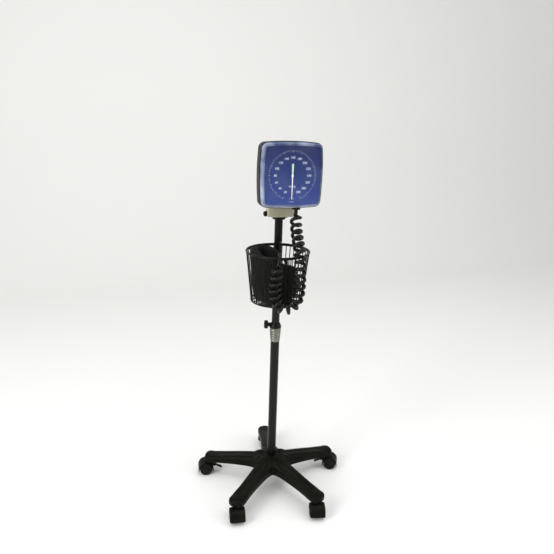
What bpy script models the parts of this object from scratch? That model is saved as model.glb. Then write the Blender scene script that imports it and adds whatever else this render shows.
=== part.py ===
"""A floor-standing aneroid sphygmomanometer on a five-caster base.

Metres, +Z up. The origin is on the floor, under the middle of the footprint, and the gauge faces -Y.
"""

import math

import bmesh
import bpy
import numpy as np
from mathutils import Matrix, Vector

# Shared allowances
FIT = 0.0003
RUNNING_FIT = 0.0005
OVERRUN = 0.01
WELD = 0.000001
ROUND_STEPS = 24
SMALL_STEPS = 12
SMOOTH_ANGLE = math.radians(35)

# How the mast, the basket and the base are turned on the pole, seen from above
BASE_TURN = math.radians(-9.4)
BASKET_TURN = math.radians(-17.0)

# Star base
LEG_COUNT = 5
STEM_CIRCLE = 0.195
HUB_RADIUS = 0.034
HUB_BOTTOM = 0.054
HUB_TOP = 0.098
HUB_SHOULDER = 0.010
SOCKET_FLOOR = 0.068
LEG_ROOT_WIDTH = 0.044
LEG_TIP_WIDTH = 0.036
LEG_ROOT_TOP = 0.088
LEG_TIP_TOP = 0.0675
LEG_ROOT_BOTTOM = 0.056
LEG_TIP_BOTTOM = 0.0475
LEG_CROWN = 0.004
LEG_CHAMFER = 0.007
LEG_NOSE = 0.017
LEG_NOSE_DROP = 0.005
LEG_FLAT_REACH = 0.020
LEG_INNER_REACH = 0.010
LEG_NOSE_WIDTH_SHARE = 0.55

# Casters
WHEEL_RADIUS = 0.020
WHEEL_STEPS = 16
WHEEL_BORE_DEPTH = 0.012
WHEEL_WIDTH = 0.017
WHEEL_EDGE = 0.0025
WHEEL_DISH = 0.0025
WHEEL_RIM = 0.007
WHEEL_BOSS = 0.007
AXLE_RADIUS = 0.003
CASTER_TRAIL = 0.0150
FORK_WEB = 0.007
HOOD_WALL = 0.0025
HOOD_GAP = 0.0015
HOOD_FOOT = 0.0145
NECK_FOOT = 0.022
FORK_NECK_RADIUS = 0.010
STEM_RADIUS = 0.005
STEM_IN_NECK = 0.006
STEM_IN_LEG = 0.011
CASTER_TURNS = [math.radians(a) for a in (42.0, 174.0, 264.0, 258.0, 335.0)]
BRAKED_CASTERS = (1, 4)

# Brake pedals, shown pressed down
PEDAL_PIVOT_FORWARD = 0.0118
PEDAL_PIVOT_HEIGHT = 0.027
PEDAL_PIN_RADIUS = 0.0018
PEDAL_EYE_RADIUS = 0.0038
PEDAL_WIDTH = 0.012
PEDAL_TONGUE_WIDTH = 0.011
PEDAL_REACH = 0.027
PEDAL_DROP = math.radians(28)
PEDAL_THICKNESS = 0.0032
PEDAL_CHEEK = 0.003

# Lower tube and what holds it in the hub
LOWER_TUBE_RADIUS = 0.0127
LOWER_TUBE_WALL = 0.0010
LOWER_TUBE_TOP = 0.508
PLUG_HEIGHT = 0.020
BOLT_RADIUS = 0.004
BOLT_HEAD_RADIUS = 0.0075
BOLT_HEAD_HEIGHT = 0.0055
WASHER_RADIUS = 0.010
WASHER_HEIGHT = 0.0018
BOLT_IN_PLUG = 0.014
BOLT_RECESS = 0.008
BOLT_RECESS_RADIUS = 0.0115

# Height lock at the top of the lower tube
COLLAR_RADIUS = 0.0165
COLLAR_HEIGHT = 0.042
COLLAR_OVER_TUBE = 0.008
COLLAR_TOP = LOWER_TUBE_TOP + COLLAR_OVER_TUBE
COLLAR_BOTTOM = COLLAR_TOP - COLLAR_HEIGHT
COLLAR_GROOVE = 0.0014
COLLAR_GROOVE_WIDTH = 0.004
LOCK_RING_HEIGHT = 0.013
LOCK_BOSS_RADIUS = 0.0060
LOCK_BOSS_REACH = 0.021
LOCK_SCREW_RADIUS = 0.003
LOCK_KNOB_RADIUS = 0.0125
LOCK_KNOB_HEIGHT = 0.0115
LOCK_KNOB_LOBES = 6
LOCK_LOBE_DEPTH = 0.0012
LOCK_KNOB_EDGE = 0.0015
LOCK_SIDE = math.radians(163)

# How the basket and the head stand on the pole
BASKET_ABOVE_TUBE = 0.109
BASKET_DEPTH = 0.140
HEAD_ABOVE_BASKET = 0.073
BASKET_BOTTOM = LOWER_TUBE_TOP + BASKET_ABOVE_TUBE
BASKET_TOP = BASKET_BOTTOM + BASKET_DEPTH
HEAD_FLANGE_BOTTOM = BASKET_TOP + HEAD_ABOVE_BASKET

# Upper tube
UPPER_TUBE_RADIUS = 0.0111
UPPER_TUBE_WALL = 0.0012
UPPER_TUBE_BOTTOM = 0.160
TUBE_IN_HEAD = 0.0197
UPPER_TUBE_TOP = HEAD_FLANGE_BOTTOM + TUBE_IN_HEAD
BUSH_HEIGHT = 0.010
BUSH_SPIGOT = 0.022

# Head block and tilt axle on top of the upper tube
HEAD_FLANGE_RADIUS = 0.018
HEAD_FLANGE_HEIGHT = 0.006
HEAD_HALF_WIDTH = 0.020
HEAD_BACK = 0.017
BARREL_RADIUS = 0.008
POST_EASE = 0.0004
BUTTON_BELOW_HEAD = 0.064
BUTTON_HEIGHT = HEAD_FLANGE_BOTTOM - BUTTON_BELOW_HEAD
POST_BELOW_BUTTON = 0.016
POST_BOTTOM = BUTTON_HEIGHT - POST_BELOW_BUTTON
BUTTON_RADIUS = 0.0028
BUTTON_PROUD = 0.0026
BUTTON_LENGTH = 0.0085
BUTTON_SIDE = math.radians(-55)
TILT_AXIS_FORWARD = 0.018
TILT_AXIS_RISE = 0.018
TILT_AXIS_HEIGHT = HEAD_FLANGE_BOTTOM + TILT_AXIS_RISE
HEAD_OVER_AXIS = 0.009
HEAD_TOP = TILT_AXIS_HEIGHT + HEAD_OVER_AXIS
GAUGE_RISE = 0.109
GAUGE_HEIGHT = TILT_AXIS_HEIGHT + GAUGE_RISE
TILT_AXLE_RADIUS = 0.003
AXLE_HEAD_RADIUS = 0.006
AXLE_HEAD_HEIGHT = 0.004
TILT_KNOB_RADIUS = 0.0075
TILT_KNOB_HEIGHT = 0.0085
TILT_KNOB_NOTCH = 0.0012

# Yoke of grey steel plate that carries the gauge
YOKE_HALF_WIDTH = 0.040
YOKE_PLATE = 0.002
YOKE_FRONT = 0.040
YOKE_EAR_DEPTH = 0.018
YOKE_EAR_RISE = 0.018
YOKE_DROP = 0.010
YOKE_TOP_BELOW_GAUGE = 0.032
YOKE_EAR_TOP = TILT_AXIS_HEIGHT + YOKE_EAR_RISE
YOKE_BOTTOM = TILT_AXIS_HEIGHT - YOKE_DROP
YOKE_TOP = GAUGE_HEIGHT - YOKE_TOP_BELOW_GAUGE
YOKE_CORNER = 0.008
YOKE_SCREW_RADIUS = 0.002
YOKE_SCREW_HEAD_RADIUS = 0.0038
YOKE_SCREW_HEAD_HEIGHT = 0.0022
YOKE_SCREW_SPREAD = 0.022
YOKE_SCREW_BELOW_GAUGE = 0.050
YOKE_SCREW_HEIGHT = GAUGE_HEIGHT - YOKE_SCREW_BELOW_GAUGE
YOKE_SCREW_LENGTH = 0.016

# Gauge
GAUGE_HALF = 0.080
GAUGE_BULGE = 0.0025
GAUGE_CORNER = 0.017
CASE_FRONT = 0.096
CASE_SIDE_DEPTH = 0.030
CASE_SHOULDER_DEPTH = 0.008
CASE_SHOULDER_INSET = 0.010
CASE_WALL = 0.0025
LENS_DEPTH = 0.014
LENS_WALL = 0.0025
LENS_FRONT_INSET = 0.007
LENS_FOOT_INSET = 0.0012
DIAL_INSET = 0.0075
DIAL_PLATE_THICKNESS = 0.002
DIAL_FRONT = 0.103
NEEDLE_LENGTH = 0.0585
NEEDLE_TAIL = 0.029
NEEDLE_HUB_RADIUS = 0.0042
NEEDLE_TIP_WIDTH = 0.0013
NEEDLE_ROOT_WIDTH = 0.0024
NEEDLE_TAIL_WIDTH = 0.0050
NEEDLE_THICKNESS = 0.0009
NEEDLE_STANDOFF = 0.0012
ARBOR_RADIUS = 0.0012
ARBOR_LENGTH = 0.014
MOVEMENT_HALF = 0.022
MOVEMENT_DEPTH = 0.022
CAPSULE_RADIUS = 0.027
CAPSULE_DEPTH = 0.0175
CAPSULE_FOLDS = 3
BACK_BOSS_HALF_WIDTH = 0.032
BACK_BOSS_HALF_HEIGHT = 0.015
BACK_BOSS_BELOW_GAUGE = 0.049
BACK_BOSS_BOTTOM = GAUGE_HEIGHT - BACK_BOSS_BELOW_GAUGE - BACK_BOSS_HALF_HEIGHT
BACK_BOSS_TOP = GAUGE_HEIGHT - BACK_BOSS_BELOW_GAUGE + BACK_BOSS_HALF_HEIGHT
INLET_SIDE = 0.021
INLET_FORWARD = 0.080
INLET_FLANGE_RADIUS = 0.011
INLET_FLANGE_HEIGHT = 0.005
INLET_PIPE_RADIUS = 0.004
INLET_HEAD = 0.010
INNER_TUBE_RADIUS = 0.0035

# Wire basket, round and tapered, hung in front of the pole
BASKET_OFFSET = 0.056
BASKET_TOP_RADIUS = 0.086
BASKET_BOTTOM_RADIUS = 0.071
BASKET_WIRES = 44
BASKET_WIRE = 0.0028
BASKET_RIM_BAND = 0.006
BASKET_FOOT_BAND = 0.005
BASKET_FLOOR_BARS = 8
BASKET_COLLAR_WALL = 0.004
BASKET_COLLAR_HEIGHT = 0.008
CLAMP_HEIGHT = 0.016
CLAMP_WALL = 0.005
CLAMP_SCREW_RADIUS = 0.0025
CLAMP_SCREW_HEAD_RADIUS = 0.0045
CLAMP_SCREW_HEAD_HEIGHT = 0.007
CLAMP_SCREW_SIDE = math.radians(25)

# Curly hose: its route goes from the gauge's inlet over the basket's front, in the basket's own
# directions and in heights above its foot
HOSE_RADIUS = 0.0045
CURL_RADIUS = 0.0118
CURL_PITCH_TOP = 0.0210
CURL_PITCH_LOW = 0.0174
CURL_POINTS = 8
HOSE_CURLS_FROM = 0.008
HOSE_CURLS_GROW = 0.014
HOSE_PLAIN_TAIL = 0.062
HOSE_PLAIN_STEP = 0.004
HOSE_PITCH_HALFWAY = 0.110
HOSE_BELOW_GAUGE = 0.0090
HOSE_START_RUN = 0.0075
HOSE_ROUTE = [
    (0.0438, -0.0735, 0.2290),
    (0.0450, -0.0870, 0.2090),
    (0.0483, -0.1090, 0.1880),
    (0.0532, -0.1335, 0.1660),
    (0.0570, -0.1440, 0.1400),
    (0.0582, -0.1415, 0.1050),
    (0.0585, -0.1385, 0.0740),
    (0.0570, -0.1360, 0.0450),
    (0.0500, -0.1355, 0.0210),
    (0.0350, -0.1405, 0.0075),
    (0.0165, -0.1460, 0.0085),
    (0.0030, -0.1495, 0.0240),
    (-0.0025, -0.1520, 0.0470),
    (-0.0030, -0.1550, 0.0730),
    (-0.0010, -0.1585, 0.0980),
    (0.0015, -0.1605, 0.1180),
    (0.0040, -0.1585, 0.1335),
    (0.0048, -0.1515, 0.1440),
    (0.0048, -0.1420, 0.1482),
    (0.0042, -0.1320, 0.1445),
    (0.0035, -0.1240, 0.1370),
    (0.0030, -0.1180, 0.1305),
]

# Cuff, bulb and their rubber tube in the basket: the cuff's folds are seen from above, from the
# basket's middle, each with the height of the cuff's edge above the basket's foot
CUFF_THICKNESS = 0.026
CUFF_FOOT = 0.006
CUFF_FOLD_DEPTH = 0.004
CUFF_CREASE_SHARE = 0.22
CUFF_STEPS = 24
CUFF_ROUND = 24
CUFF_FOLDS = [
    (0.040, -0.033, 0.110),
    (0.022, -0.047, 0.115),
    (0.000, -0.052, 0.121),
    (-0.024, -0.046, 0.130),
    (-0.044, -0.028, 0.141),
    (-0.052, -0.003, 0.148),
    (-0.037, 0.019, 0.150),
    (-0.015, 0.013, 0.144),
    (0.006, 0.010, 0.136),
]
CUFF_PORT_RADIUS = 0.0065
CUFF_PORT_LENGTH = 0.020
BULB_RADIUS = 0.025
BULB_LENGTH = 0.074
BULB_NECK_RADIUS = 0.0075
BULB_CENTRE = (0.038, -0.045, 0.052)
BULB_LEAN = math.radians(14)
VALVE_RADIUS = 0.0065
VALVE_LENGTH = 0.018
VALVE_SCREW_RADIUS = 0.0075
VALVE_SCREW_LENGTH = 0.006
CHECK_VALVE_LENGTH = 0.010
BULB_TUBE_RADIUS = 0.0035


def clear_scene():
    """Empties the scene of its start-up objects."""
    for old in list(bpy.data.objects):
        bpy.data.objects.remove(old)


def finish_material(name, colour, roughness, metallic=0.0, alpha=1.0):
    """One Principled material of a plain colour."""
    material = bpy.data.materials.new(name)
    material.use_nodes = True
    shader = material.node_tree.nodes["Principled BSDF"]
    shader.inputs["Base Color"].default_value = (*colour, 1.0)
    shader.inputs["Roughness"].default_value = roughness
    shader.inputs["Metallic"].default_value = metallic
    shader.inputs["Alpha"].default_value = alpha
    return material


def new_piece(name, points, faces):
    """A mesh object in world coordinates, with its faces turned outwards."""
    mesh = bpy.data.meshes.new(name)
    shape = bmesh.new()
    corners = [shape.verts.new(point) for point in points]
    for face in faces:
        shape.faces.new([corners[i] for i in face])
    bmesh.ops.recalc_face_normals(shape, faces=shape.faces)
    shape.to_mesh(mesh)
    shape.free()
    piece = bpy.data.objects.new(name, mesh)
    bpy.context.collection.objects.link(piece)
    return piece


def turned(name, profile, steps=ROUND_STEPS, phase=0.0):
    """Turns (radius, height) points about Z: a ring, or a solid where both ends are at radius 0."""
    points = []
    rings = []
    for radius, height in profile:
        if radius == 0:
            rings.append([len(points)] * steps)
            points.append((0, 0, height))
            continue
        rings.append(list(range(len(points), len(points) + steps)))
        for step in range(steps):
            angle = phase + math.tau * step / steps
            points.append((radius * math.cos(angle), radius * math.sin(angle), height))
    pairs = list(zip(rings, rings[1:]))
    if profile[0][0] > 0:
        pairs.append((rings[-1], rings[0]))
    faces = []
    for lower, upper in pairs:
        for step in range(steps):
            after = (step + 1) % steps
            face = [lower[step], lower[after], upper[after], upper[step]]
            face = [corner for i, corner in enumerate(face) if corner not in face[:i]]
            if len(face) > 2:
                faces.append(face)
    return new_piece(name, points, faces)


def lofted(name, rings):
    """Joins rings of as many points each, and closes both ends."""
    count = len(rings[0])
    points = [point for ring in rings for point in ring]
    faces = [list(range(count)), list(range(len(points) - count, len(points)))]
    for row in range(len(rings) - 1):
        for i in range(count):
            after = (i + 1) % count
            faces.append(
                [
                    row * count + i,
                    row * count + after,
                    (row + 1) * count + after,
                    (row + 1) * count + i,
                ]
            )
    return new_piece(name, points, faces)


def extruded(name, outline, low, high):
    """Extrudes an (x, y) outline along Z."""
    return lofted(name, [[(x, y, z) for x, y in outline] for z in (low, high)])


def block(name, low, high):
    """A box between two corners."""
    outline = [(low[0], low[1]), (high[0], low[1]), (high[0], high[1]), (low[0], high[1])]
    return extruded(name, outline, low[2], high[2])


def rod(name, radius, start, end, steps=SMALL_STEPS):
    """A round bar between two points."""
    start = Vector(start)
    along = Vector(end) - start
    bar = turned(name, [(0, 0), (radius, 0), (radius, along.length), (0, along.length)], steps)
    turn = along.to_track_quat("Z", "Y").to_matrix().to_4x4()
    bar.data.transform(Matrix.Translation(start) @ turn)
    return bar


def combine(target, tool, operation):
    """Cuts the tool from the target, or joins it to the target, and keeps the tool as a cutter."""
    step = target.modifiers.new(operation.title(), "BOOLEAN")
    step.operation = operation
    step.solver = "EXACT"
    step.object = tool
    tool.hide_render = True
    tool.display_type = "WIRE"


def moved(piece, place):
    """Moves a piece's mesh, and the meshes of its tools."""
    piece.data.transform(place)
    for step in piece.modifiers:
        step.object.data.transform(place)
    return piece


def put(piece, axis, material):
    """Hangs a piece and its tools on a body's empty, without moving them."""
    inward = PLACES[axis.name].inverted()
    for member in [piece] + [step.object for step in piece.modifiers]:
        member.data.transform(inward)
        member.parent = axis
    piece.data.materials.append(material)
    piece.data.shade_smooth()
    piece.data.set_sharp_from_angle(angle=SMOOTH_ANGLE)
    return piece


def new_axis(name, place, root):
    """The empty of one body, on its joint's axis."""
    axis = bpy.data.objects.new(name, None)
    bpy.context.collection.objects.link(axis)
    axis.parent = root
    axis.matrix_local = place
    PLACES[name] = place.copy()
    return axis


def about_z(angle):
    """A turn about the vertical."""
    return Matrix.Rotation(angle, 4, "Z")


PLACES = {}
LYING = Matrix.Rotation(math.radians(90), 4, "X")


def leg_section(reach, width, bottom, top):
    """A leg's cross-section: flat below, with a chamfered and crowned top."""
    half = width / 2
    return [
        (reach, -half, bottom),
        (reach, half, bottom),
        (reach, half, top - LEG_CROWN - LEG_CHAMFER),
        (reach, half - LEG_CHAMFER, top - LEG_CROWN),
        (reach, 0, top),
        (reach, LEG_CHAMFER - half, top - LEG_CROWN),
        (reach, -half, top - LEG_CROWN - LEG_CHAMFER),
    ]


def build_base(root_axis, plastic, steel, black):
    """The star base, its bolt and the plug of the lower tube."""
    hub = turned(
        "star_base",
        [
            (0, HUB_BOTTOM),
            (HUB_RADIUS, HUB_BOTTOM),
            (HUB_RADIUS, HUB_TOP - HUB_SHOULDER),
            (HUB_RADIUS - HUB_SHOULDER, HUB_TOP),
            (0, HUB_TOP),
        ],
    )
    flat_from = STEM_CIRCLE - LEG_FLAT_REACH
    flat_to = STEM_CIRCLE + LEG_NOSE / 4
    nose = STEM_CIRCLE + LEG_NOSE
    for leg in range(LEG_COUNT):
        sections = [
            leg_section(LEG_INNER_REACH, LEG_ROOT_WIDTH, LEG_ROOT_BOTTOM, LEG_ROOT_TOP),
            leg_section(HUB_RADIUS, LEG_ROOT_WIDTH, LEG_ROOT_BOTTOM, LEG_ROOT_TOP),
            leg_section(flat_from, LEG_TIP_WIDTH, LEG_TIP_BOTTOM, LEG_TIP_TOP),
            leg_section(flat_to, LEG_TIP_WIDTH, LEG_TIP_BOTTOM, LEG_TIP_TOP),
            leg_section(
                nose,
                LEG_TIP_WIDTH * LEG_NOSE_WIDTH_SHARE,
                LEG_TIP_BOTTOM,
                LEG_TIP_TOP - LEG_NOSE_DROP,
            ),
        ]
        arm = moved(lofted(f"leg_{leg}", sections), about_z(leg_turn(leg)))
        combine(hub, arm, "UNION")
    for leg in range(LEG_COUNT):
        x = STEM_CIRCLE * math.cos(leg_turn(leg))
        y = STEM_CIRCLE * math.sin(leg_turn(leg))
        top = LEG_TIP_BOTTOM + STEM_IN_LEG + FIT
        socket = rod(
            f"socket_{leg}",
            STEM_RADIUS + FIT,
            (x, y, LEG_TIP_BOTTOM - OVERRUN),
            (x, y, top),
        )
        combine(hub, socket, "DIFFERENCE")
    well = rod(
        "tube_well",
        LOWER_TUBE_RADIUS + FIT,
        (0, 0, SOCKET_FLOOR),
        (0, 0, HUB_TOP + OVERRUN),
        ROUND_STEPS,
    )
    combine(hub, well, "DIFFERENCE")
    drill = rod(
        "bolt_way",
        BOLT_RADIUS + FIT,
        (0, 0, HUB_BOTTOM - OVERRUN),
        (0, 0, SOCKET_FLOOR + OVERRUN),
    )
    combine(hub, drill, "DIFFERENCE")
    recess = rod(
        "bolt_recess",
        BOLT_RECESS_RADIUS,
        (0, 0, HUB_BOTTOM - OVERRUN),
        (0, 0, HUB_BOTTOM + BOLT_RECESS),
        ROUND_STEPS,
    )
    combine(hub, recess, "DIFFERENCE")
    put(hub, root_axis, plastic)

    bolt_top = SOCKET_FLOOR + BOLT_IN_PLUG
    seat = HUB_BOTTOM + BOLT_RECESS - FIT
    bolt = turned(
        "base_bolt",
        [
            (0, seat - WASHER_HEIGHT - BOLT_HEAD_HEIGHT),
            (BOLT_HEAD_RADIUS, seat - WASHER_HEIGHT - BOLT_HEAD_HEIGHT),
            (BOLT_HEAD_RADIUS, seat - WASHER_HEIGHT),
            (WASHER_RADIUS, seat - WASHER_HEIGHT),
            (WASHER_RADIUS, seat),
            (BOLT_RADIUS, seat),
            (BOLT_RADIUS, bolt_top),
            (0, bolt_top),
        ],
        SMALL_STEPS,
    )
    put(bolt, root_axis, steel)

    plug_radius = LOWER_TUBE_RADIUS - LOWER_TUBE_WALL - FIT
    foot = SOCKET_FLOOR + FIT
    plug = turned(
        "tube_plug",
        [
            (BOLT_RADIUS + FIT, foot),
            (plug_radius, foot),
            (plug_radius, foot + PLUG_HEIGHT),
            (BOLT_RADIUS + FIT, foot + PLUG_HEIGHT),
        ],
    )
    put(plug, root_axis, black)


def leg_turn(leg):
    """The direction of a leg, seen from above, from +X."""
    return BASE_TURN + math.pi / 2 + math.tau * leg / LEG_COUNT


def build_lower_pole(root_axis, chrome, black):
    """The lower tube with its collar, lock ring and lock knob."""
    bore = LOWER_TUBE_RADIUS - LOWER_TUBE_WALL
    foot = SOCKET_FLOOR + FIT
    tube = turned(
        "lower_tube",
        [
            (bore, foot),
            (LOWER_TUBE_RADIUS, foot),
            (LOWER_TUBE_RADIUS, LOWER_TUBE_TOP),
            (bore, LOWER_TUBE_TOP),
        ],
    )
    put(tube, root_axis, chrome)

    running = UPPER_TUBE_RADIUS + RUNNING_FIT
    seat = LOWER_TUBE_RADIUS + FIT
    lip = COLLAR_RADIUS - COLLAR_GROOVE
    middle = (COLLAR_BOTTOM + COLLAR_TOP) / 2
    groove = COLLAR_GROOVE_WIDTH
    collar = turned(
        "clamp_collar",
        [
            (seat, COLLAR_BOTTOM),
            (lip, COLLAR_BOTTOM),
            (COLLAR_RADIUS, COLLAR_BOTTOM + COLLAR_GROOVE),
            (COLLAR_RADIUS, middle - groove),
            (lip, middle - groove / 2),
            (COLLAR_RADIUS, middle),
            (lip, middle + groove / 2),
            (COLLAR_RADIUS, middle + groove),
            (COLLAR_RADIUS, COLLAR_TOP - COLLAR_GROOVE),
            (lip, COLLAR_TOP),
            (running, COLLAR_TOP),
            (running, LOWER_TUBE_TOP + FIT),
            (seat, LOWER_TUBE_TOP + FIT),
        ],
    )
    put(collar, root_axis, chrome)

    ring_foot = COLLAR_TOP + FIT
    ring_top = ring_foot + LOCK_RING_HEIGHT
    height = ring_foot + LOCK_RING_HEIGHT / 2
    ring = rod("lock_ring", COLLAR_RADIUS, (0, 0, ring_foot), (0, 0, ring_top), ROUND_STEPS)
    inner = UPPER_TUBE_RADIUS / 2
    boss = rod("lock_boss", LOCK_BOSS_RADIUS, (inner, 0, height), (LOCK_BOSS_REACH, 0, height))
    combine(ring, boss, "UNION")
    way = rod(
        "lock_ring_bore",
        running,
        (0, 0, ring_foot - OVERRUN),
        (0, 0, ring_top + OVERRUN),
        ROUND_STEPS,
    )
    combine(ring, way, "DIFFERENCE")
    stud_way = rod(
        "stud_way",
        LOCK_SCREW_RADIUS + FIT,
        (inner, 0, height),
        (LOCK_BOSS_REACH + OVERRUN, 0, height),
    )
    combine(ring, stud_way, "DIFFERENCE")
    put(moved(ring, about_z(LOCK_SIDE)), root_axis, black)
    return Matrix.Translation((0, 0, height)) @ about_z(LOCK_SIDE)


def build_lock_knob(knob_axis, black):
    """The lock knob and its stud, on an axis whose X runs outwards."""
    seat = LOCK_BOSS_REACH + FIT
    tip = UPPER_TUBE_RADIUS + FIT
    outer = seat + LOCK_KNOB_HEIGHT
    count = LOCK_KNOB_LOBES * 4

    def lobed(radius, along):
        ring = []
        for i in range(count):
            angle = math.tau * i / count
            reach = radius + LOCK_LOBE_DEPTH / 2 * math.cos(LOCK_KNOB_LOBES * angle)
            ring.append((along, reach * math.cos(angle), reach * math.sin(angle)))
        return ring

    def plain(along):
        ring = []
        for i in range(count):
            angle = math.tau * i / count
            ring.append(
                (along, LOCK_SCREW_RADIUS * math.cos(angle), LOCK_SCREW_RADIUS * math.sin(angle))
            )
        return ring

    body = LOCK_KNOB_RADIUS - LOCK_LOBE_DEPTH / 2
    knob = lofted(
        "lock_knob",
        [
            plain(tip),
            plain(seat),
            lobed(body - LOCK_KNOB_EDGE, seat),
            lobed(body, seat + LOCK_KNOB_EDGE),
            lobed(body, outer - LOCK_KNOB_EDGE),
            lobed(body - LOCK_KNOB_EDGE, outer),
        ],
    )
    put(moved(knob, PLACES[knob_axis.name]), knob_axis, black)


def build_caster(number, stem_place, root_axis, root, finishes):
    """One twin-wheel caster; its own X runs from the stem to the wheels' centre."""
    plastic, rubber, steel = finishes
    axle_height = WHEEL_RADIUS * math.cos(math.pi / WHEEL_STEPS)
    neck_top = LEG_TIP_BOTTOM - RUNNING_FIT
    hood_half = FORK_WEB / 2 + RUNNING_FIT + WHEEL_WIDTH
    hood_radius = WHEEL_RADIUS + HOOD_GAP + HOOD_WALL
    swivel = new_axis(f"caster_{number}_swivel", stem_place, root)
    roll_place = stem_place @ Matrix.Translation((CASTER_TRAIL, 0, axle_height))
    roll = new_axis(f"caster_{number}_roll", roll_place, root)

    stem = rod(
        f"caster_{number}_stem",
        STEM_RADIUS,
        (0, 0, neck_top - STEM_IN_NECK),
        (0, 0, LEG_TIP_BOTTOM + STEM_IN_LEG),
    )
    put(moved(stem, stem_place), root_axis, steel)

    droop = math.asin((axle_height - HOOD_FOOT) / hood_radius)
    arc_steps = 10
    outline = []
    for step in range(arc_steps + 1):
        angle = -droop + (math.pi + 2 * droop) * step / arc_steps
        outline.append(
            (
                CASTER_TRAIL + hood_radius * math.cos(angle),
                axle_height + hood_radius * math.sin(angle),
            )
        )
    outline.append((CASTER_TRAIL - WHEEL_BOSS, axle_height - WHEEL_BOSS - AXLE_RADIUS))
    outline.append((CASTER_TRAIL + WHEEL_BOSS, axle_height - WHEEL_BOSS - AXLE_RADIUS))
    fork = moved(extruded(f"caster_{number}_fork", outline, -hood_half, hood_half), LYING)
    neck = rod(f"neck_{number}", FORK_NECK_RADIUS, (0, 0, NECK_FOOT), (0, 0, neck_top))
    combine(fork, neck, "UNION")
    braked = number - 1 in BRAKED_CASTERS
    slot_half = PEDAL_WIDTH / 2 + RUNNING_FIT
    pivot_x = -PEDAL_PIVOT_FORWARD
    if braked:
        cheeks = block(
            f"cheeks_{number}",
            (
                pivot_x - PEDAL_EYE_RADIUS,
                -slot_half - PEDAL_CHEEK,
                PEDAL_PIVOT_HEIGHT - PEDAL_EYE_RADIUS,
            ),
            (
                pivot_x + PEDAL_EYE_RADIUS * 2,
                slot_half + PEDAL_CHEEK,
                PEDAL_PIVOT_HEIGHT + PEDAL_EYE_RADIUS,
            ),
        )
        combine(fork, cheeks, "UNION")
    for side in (-1, 1):
        inner = side * FORK_WEB / 2
        well = rod(
            f"wheel_well_{number}_{side}",
            WHEEL_RADIUS + HOOD_GAP,
            (CASTER_TRAIL, inner, axle_height),
            (CASTER_TRAIL, side * (hood_half + OVERRUN), axle_height),
            WHEEL_STEPS,
        )
        combine(fork, well, "DIFFERENCE")
    bore = rod(
        f"stem_way_{number}",
        STEM_RADIUS + RUNNING_FIT,
        (0, 0, neck_top - STEM_IN_NECK - FIT),
        (0, 0, neck_top + OVERRUN),
    )
    combine(fork, bore, "DIFFERENCE")
    axle_way = rod(
        f"axle_way_{number}",
        AXLE_RADIUS + RUNNING_FIT,
        (CASTER_TRAIL, -hood_half, axle_height),
        (CASTER_TRAIL, hood_half, axle_height),
    )
    combine(fork, axle_way, "DIFFERENCE")
    if braked:
        slot = block(
            f"pedal_slot_{number}",
            (
                pivot_x - PEDAL_EYE_RADIUS - OVERRUN,
                -slot_half,
                NECK_FOOT - OVERRUN,
            ),
            (
                pivot_x + PEDAL_EYE_RADIUS + RUNNING_FIT,
                slot_half,
                PEDAL_PIVOT_HEIGHT + PEDAL_EYE_RADIUS + RUNNING_FIT,
            ),
        )
        combine(fork, slot, "DIFFERENCE")
        pin_way = rod(
            f"pin_way_{number}",
            PEDAL_PIN_RADIUS + FIT,
            (pivot_x, -hood_half, PEDAL_PIVOT_HEIGHT),
            (pivot_x, hood_half, PEDAL_PIVOT_HEIGHT),
        )
        combine(fork, pin_way, "DIFFERENCE")
        build_pedal(number, stem_place, root, plastic)
    put(moved(fork, stem_place), swivel, plastic)

    axle_half = FORK_WEB / 2 + RUNNING_FIT + WHEEL_BORE_DEPTH - FIT
    axle = rod(
        f"caster_{number}_axle",
        AXLE_RADIUS,
        (CASTER_TRAIL, -axle_half, axle_height),
        (CASTER_TRAIL, axle_half, axle_height),
    )
    put(moved(axle, stem_place), roll, steel)
    rim = WHEEL_RADIUS - WHEEL_RIM
    hole = AXLE_RADIUS + FIT
    profile = [
        (0, WHEEL_BORE_DEPTH),
        (hole, WHEEL_BORE_DEPTH),
        (hole, 0),
        (WHEEL_RADIUS, 0),
        (WHEEL_RADIUS, WHEEL_WIDTH - WHEEL_EDGE),
        (WHEEL_RADIUS - WHEEL_EDGE, WHEEL_WIDTH),
        (rim, WHEEL_WIDTH),
        (rim - WHEEL_DISH, WHEEL_WIDTH - WHEEL_DISH),
        (0, WHEEL_WIDTH - WHEEL_DISH),
    ]
    for side, label in ((-1, "left"), (1, "right")):
        wheel = turned(
            f"caster_{number}_wheel_{label}",
            profile,
            WHEEL_STEPS,
            math.pi / 2 + math.pi / WHEEL_STEPS,
        )
        lay = Matrix.Rotation(-side * math.pi / 2, 4, "X")
        shift = Matrix.Translation(
            (CASTER_TRAIL, side * (FORK_WEB / 2 + RUNNING_FIT), axle_height)
        )
        put(moved(wheel, stem_place @ shift @ lay), roll, rubber)


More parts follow.
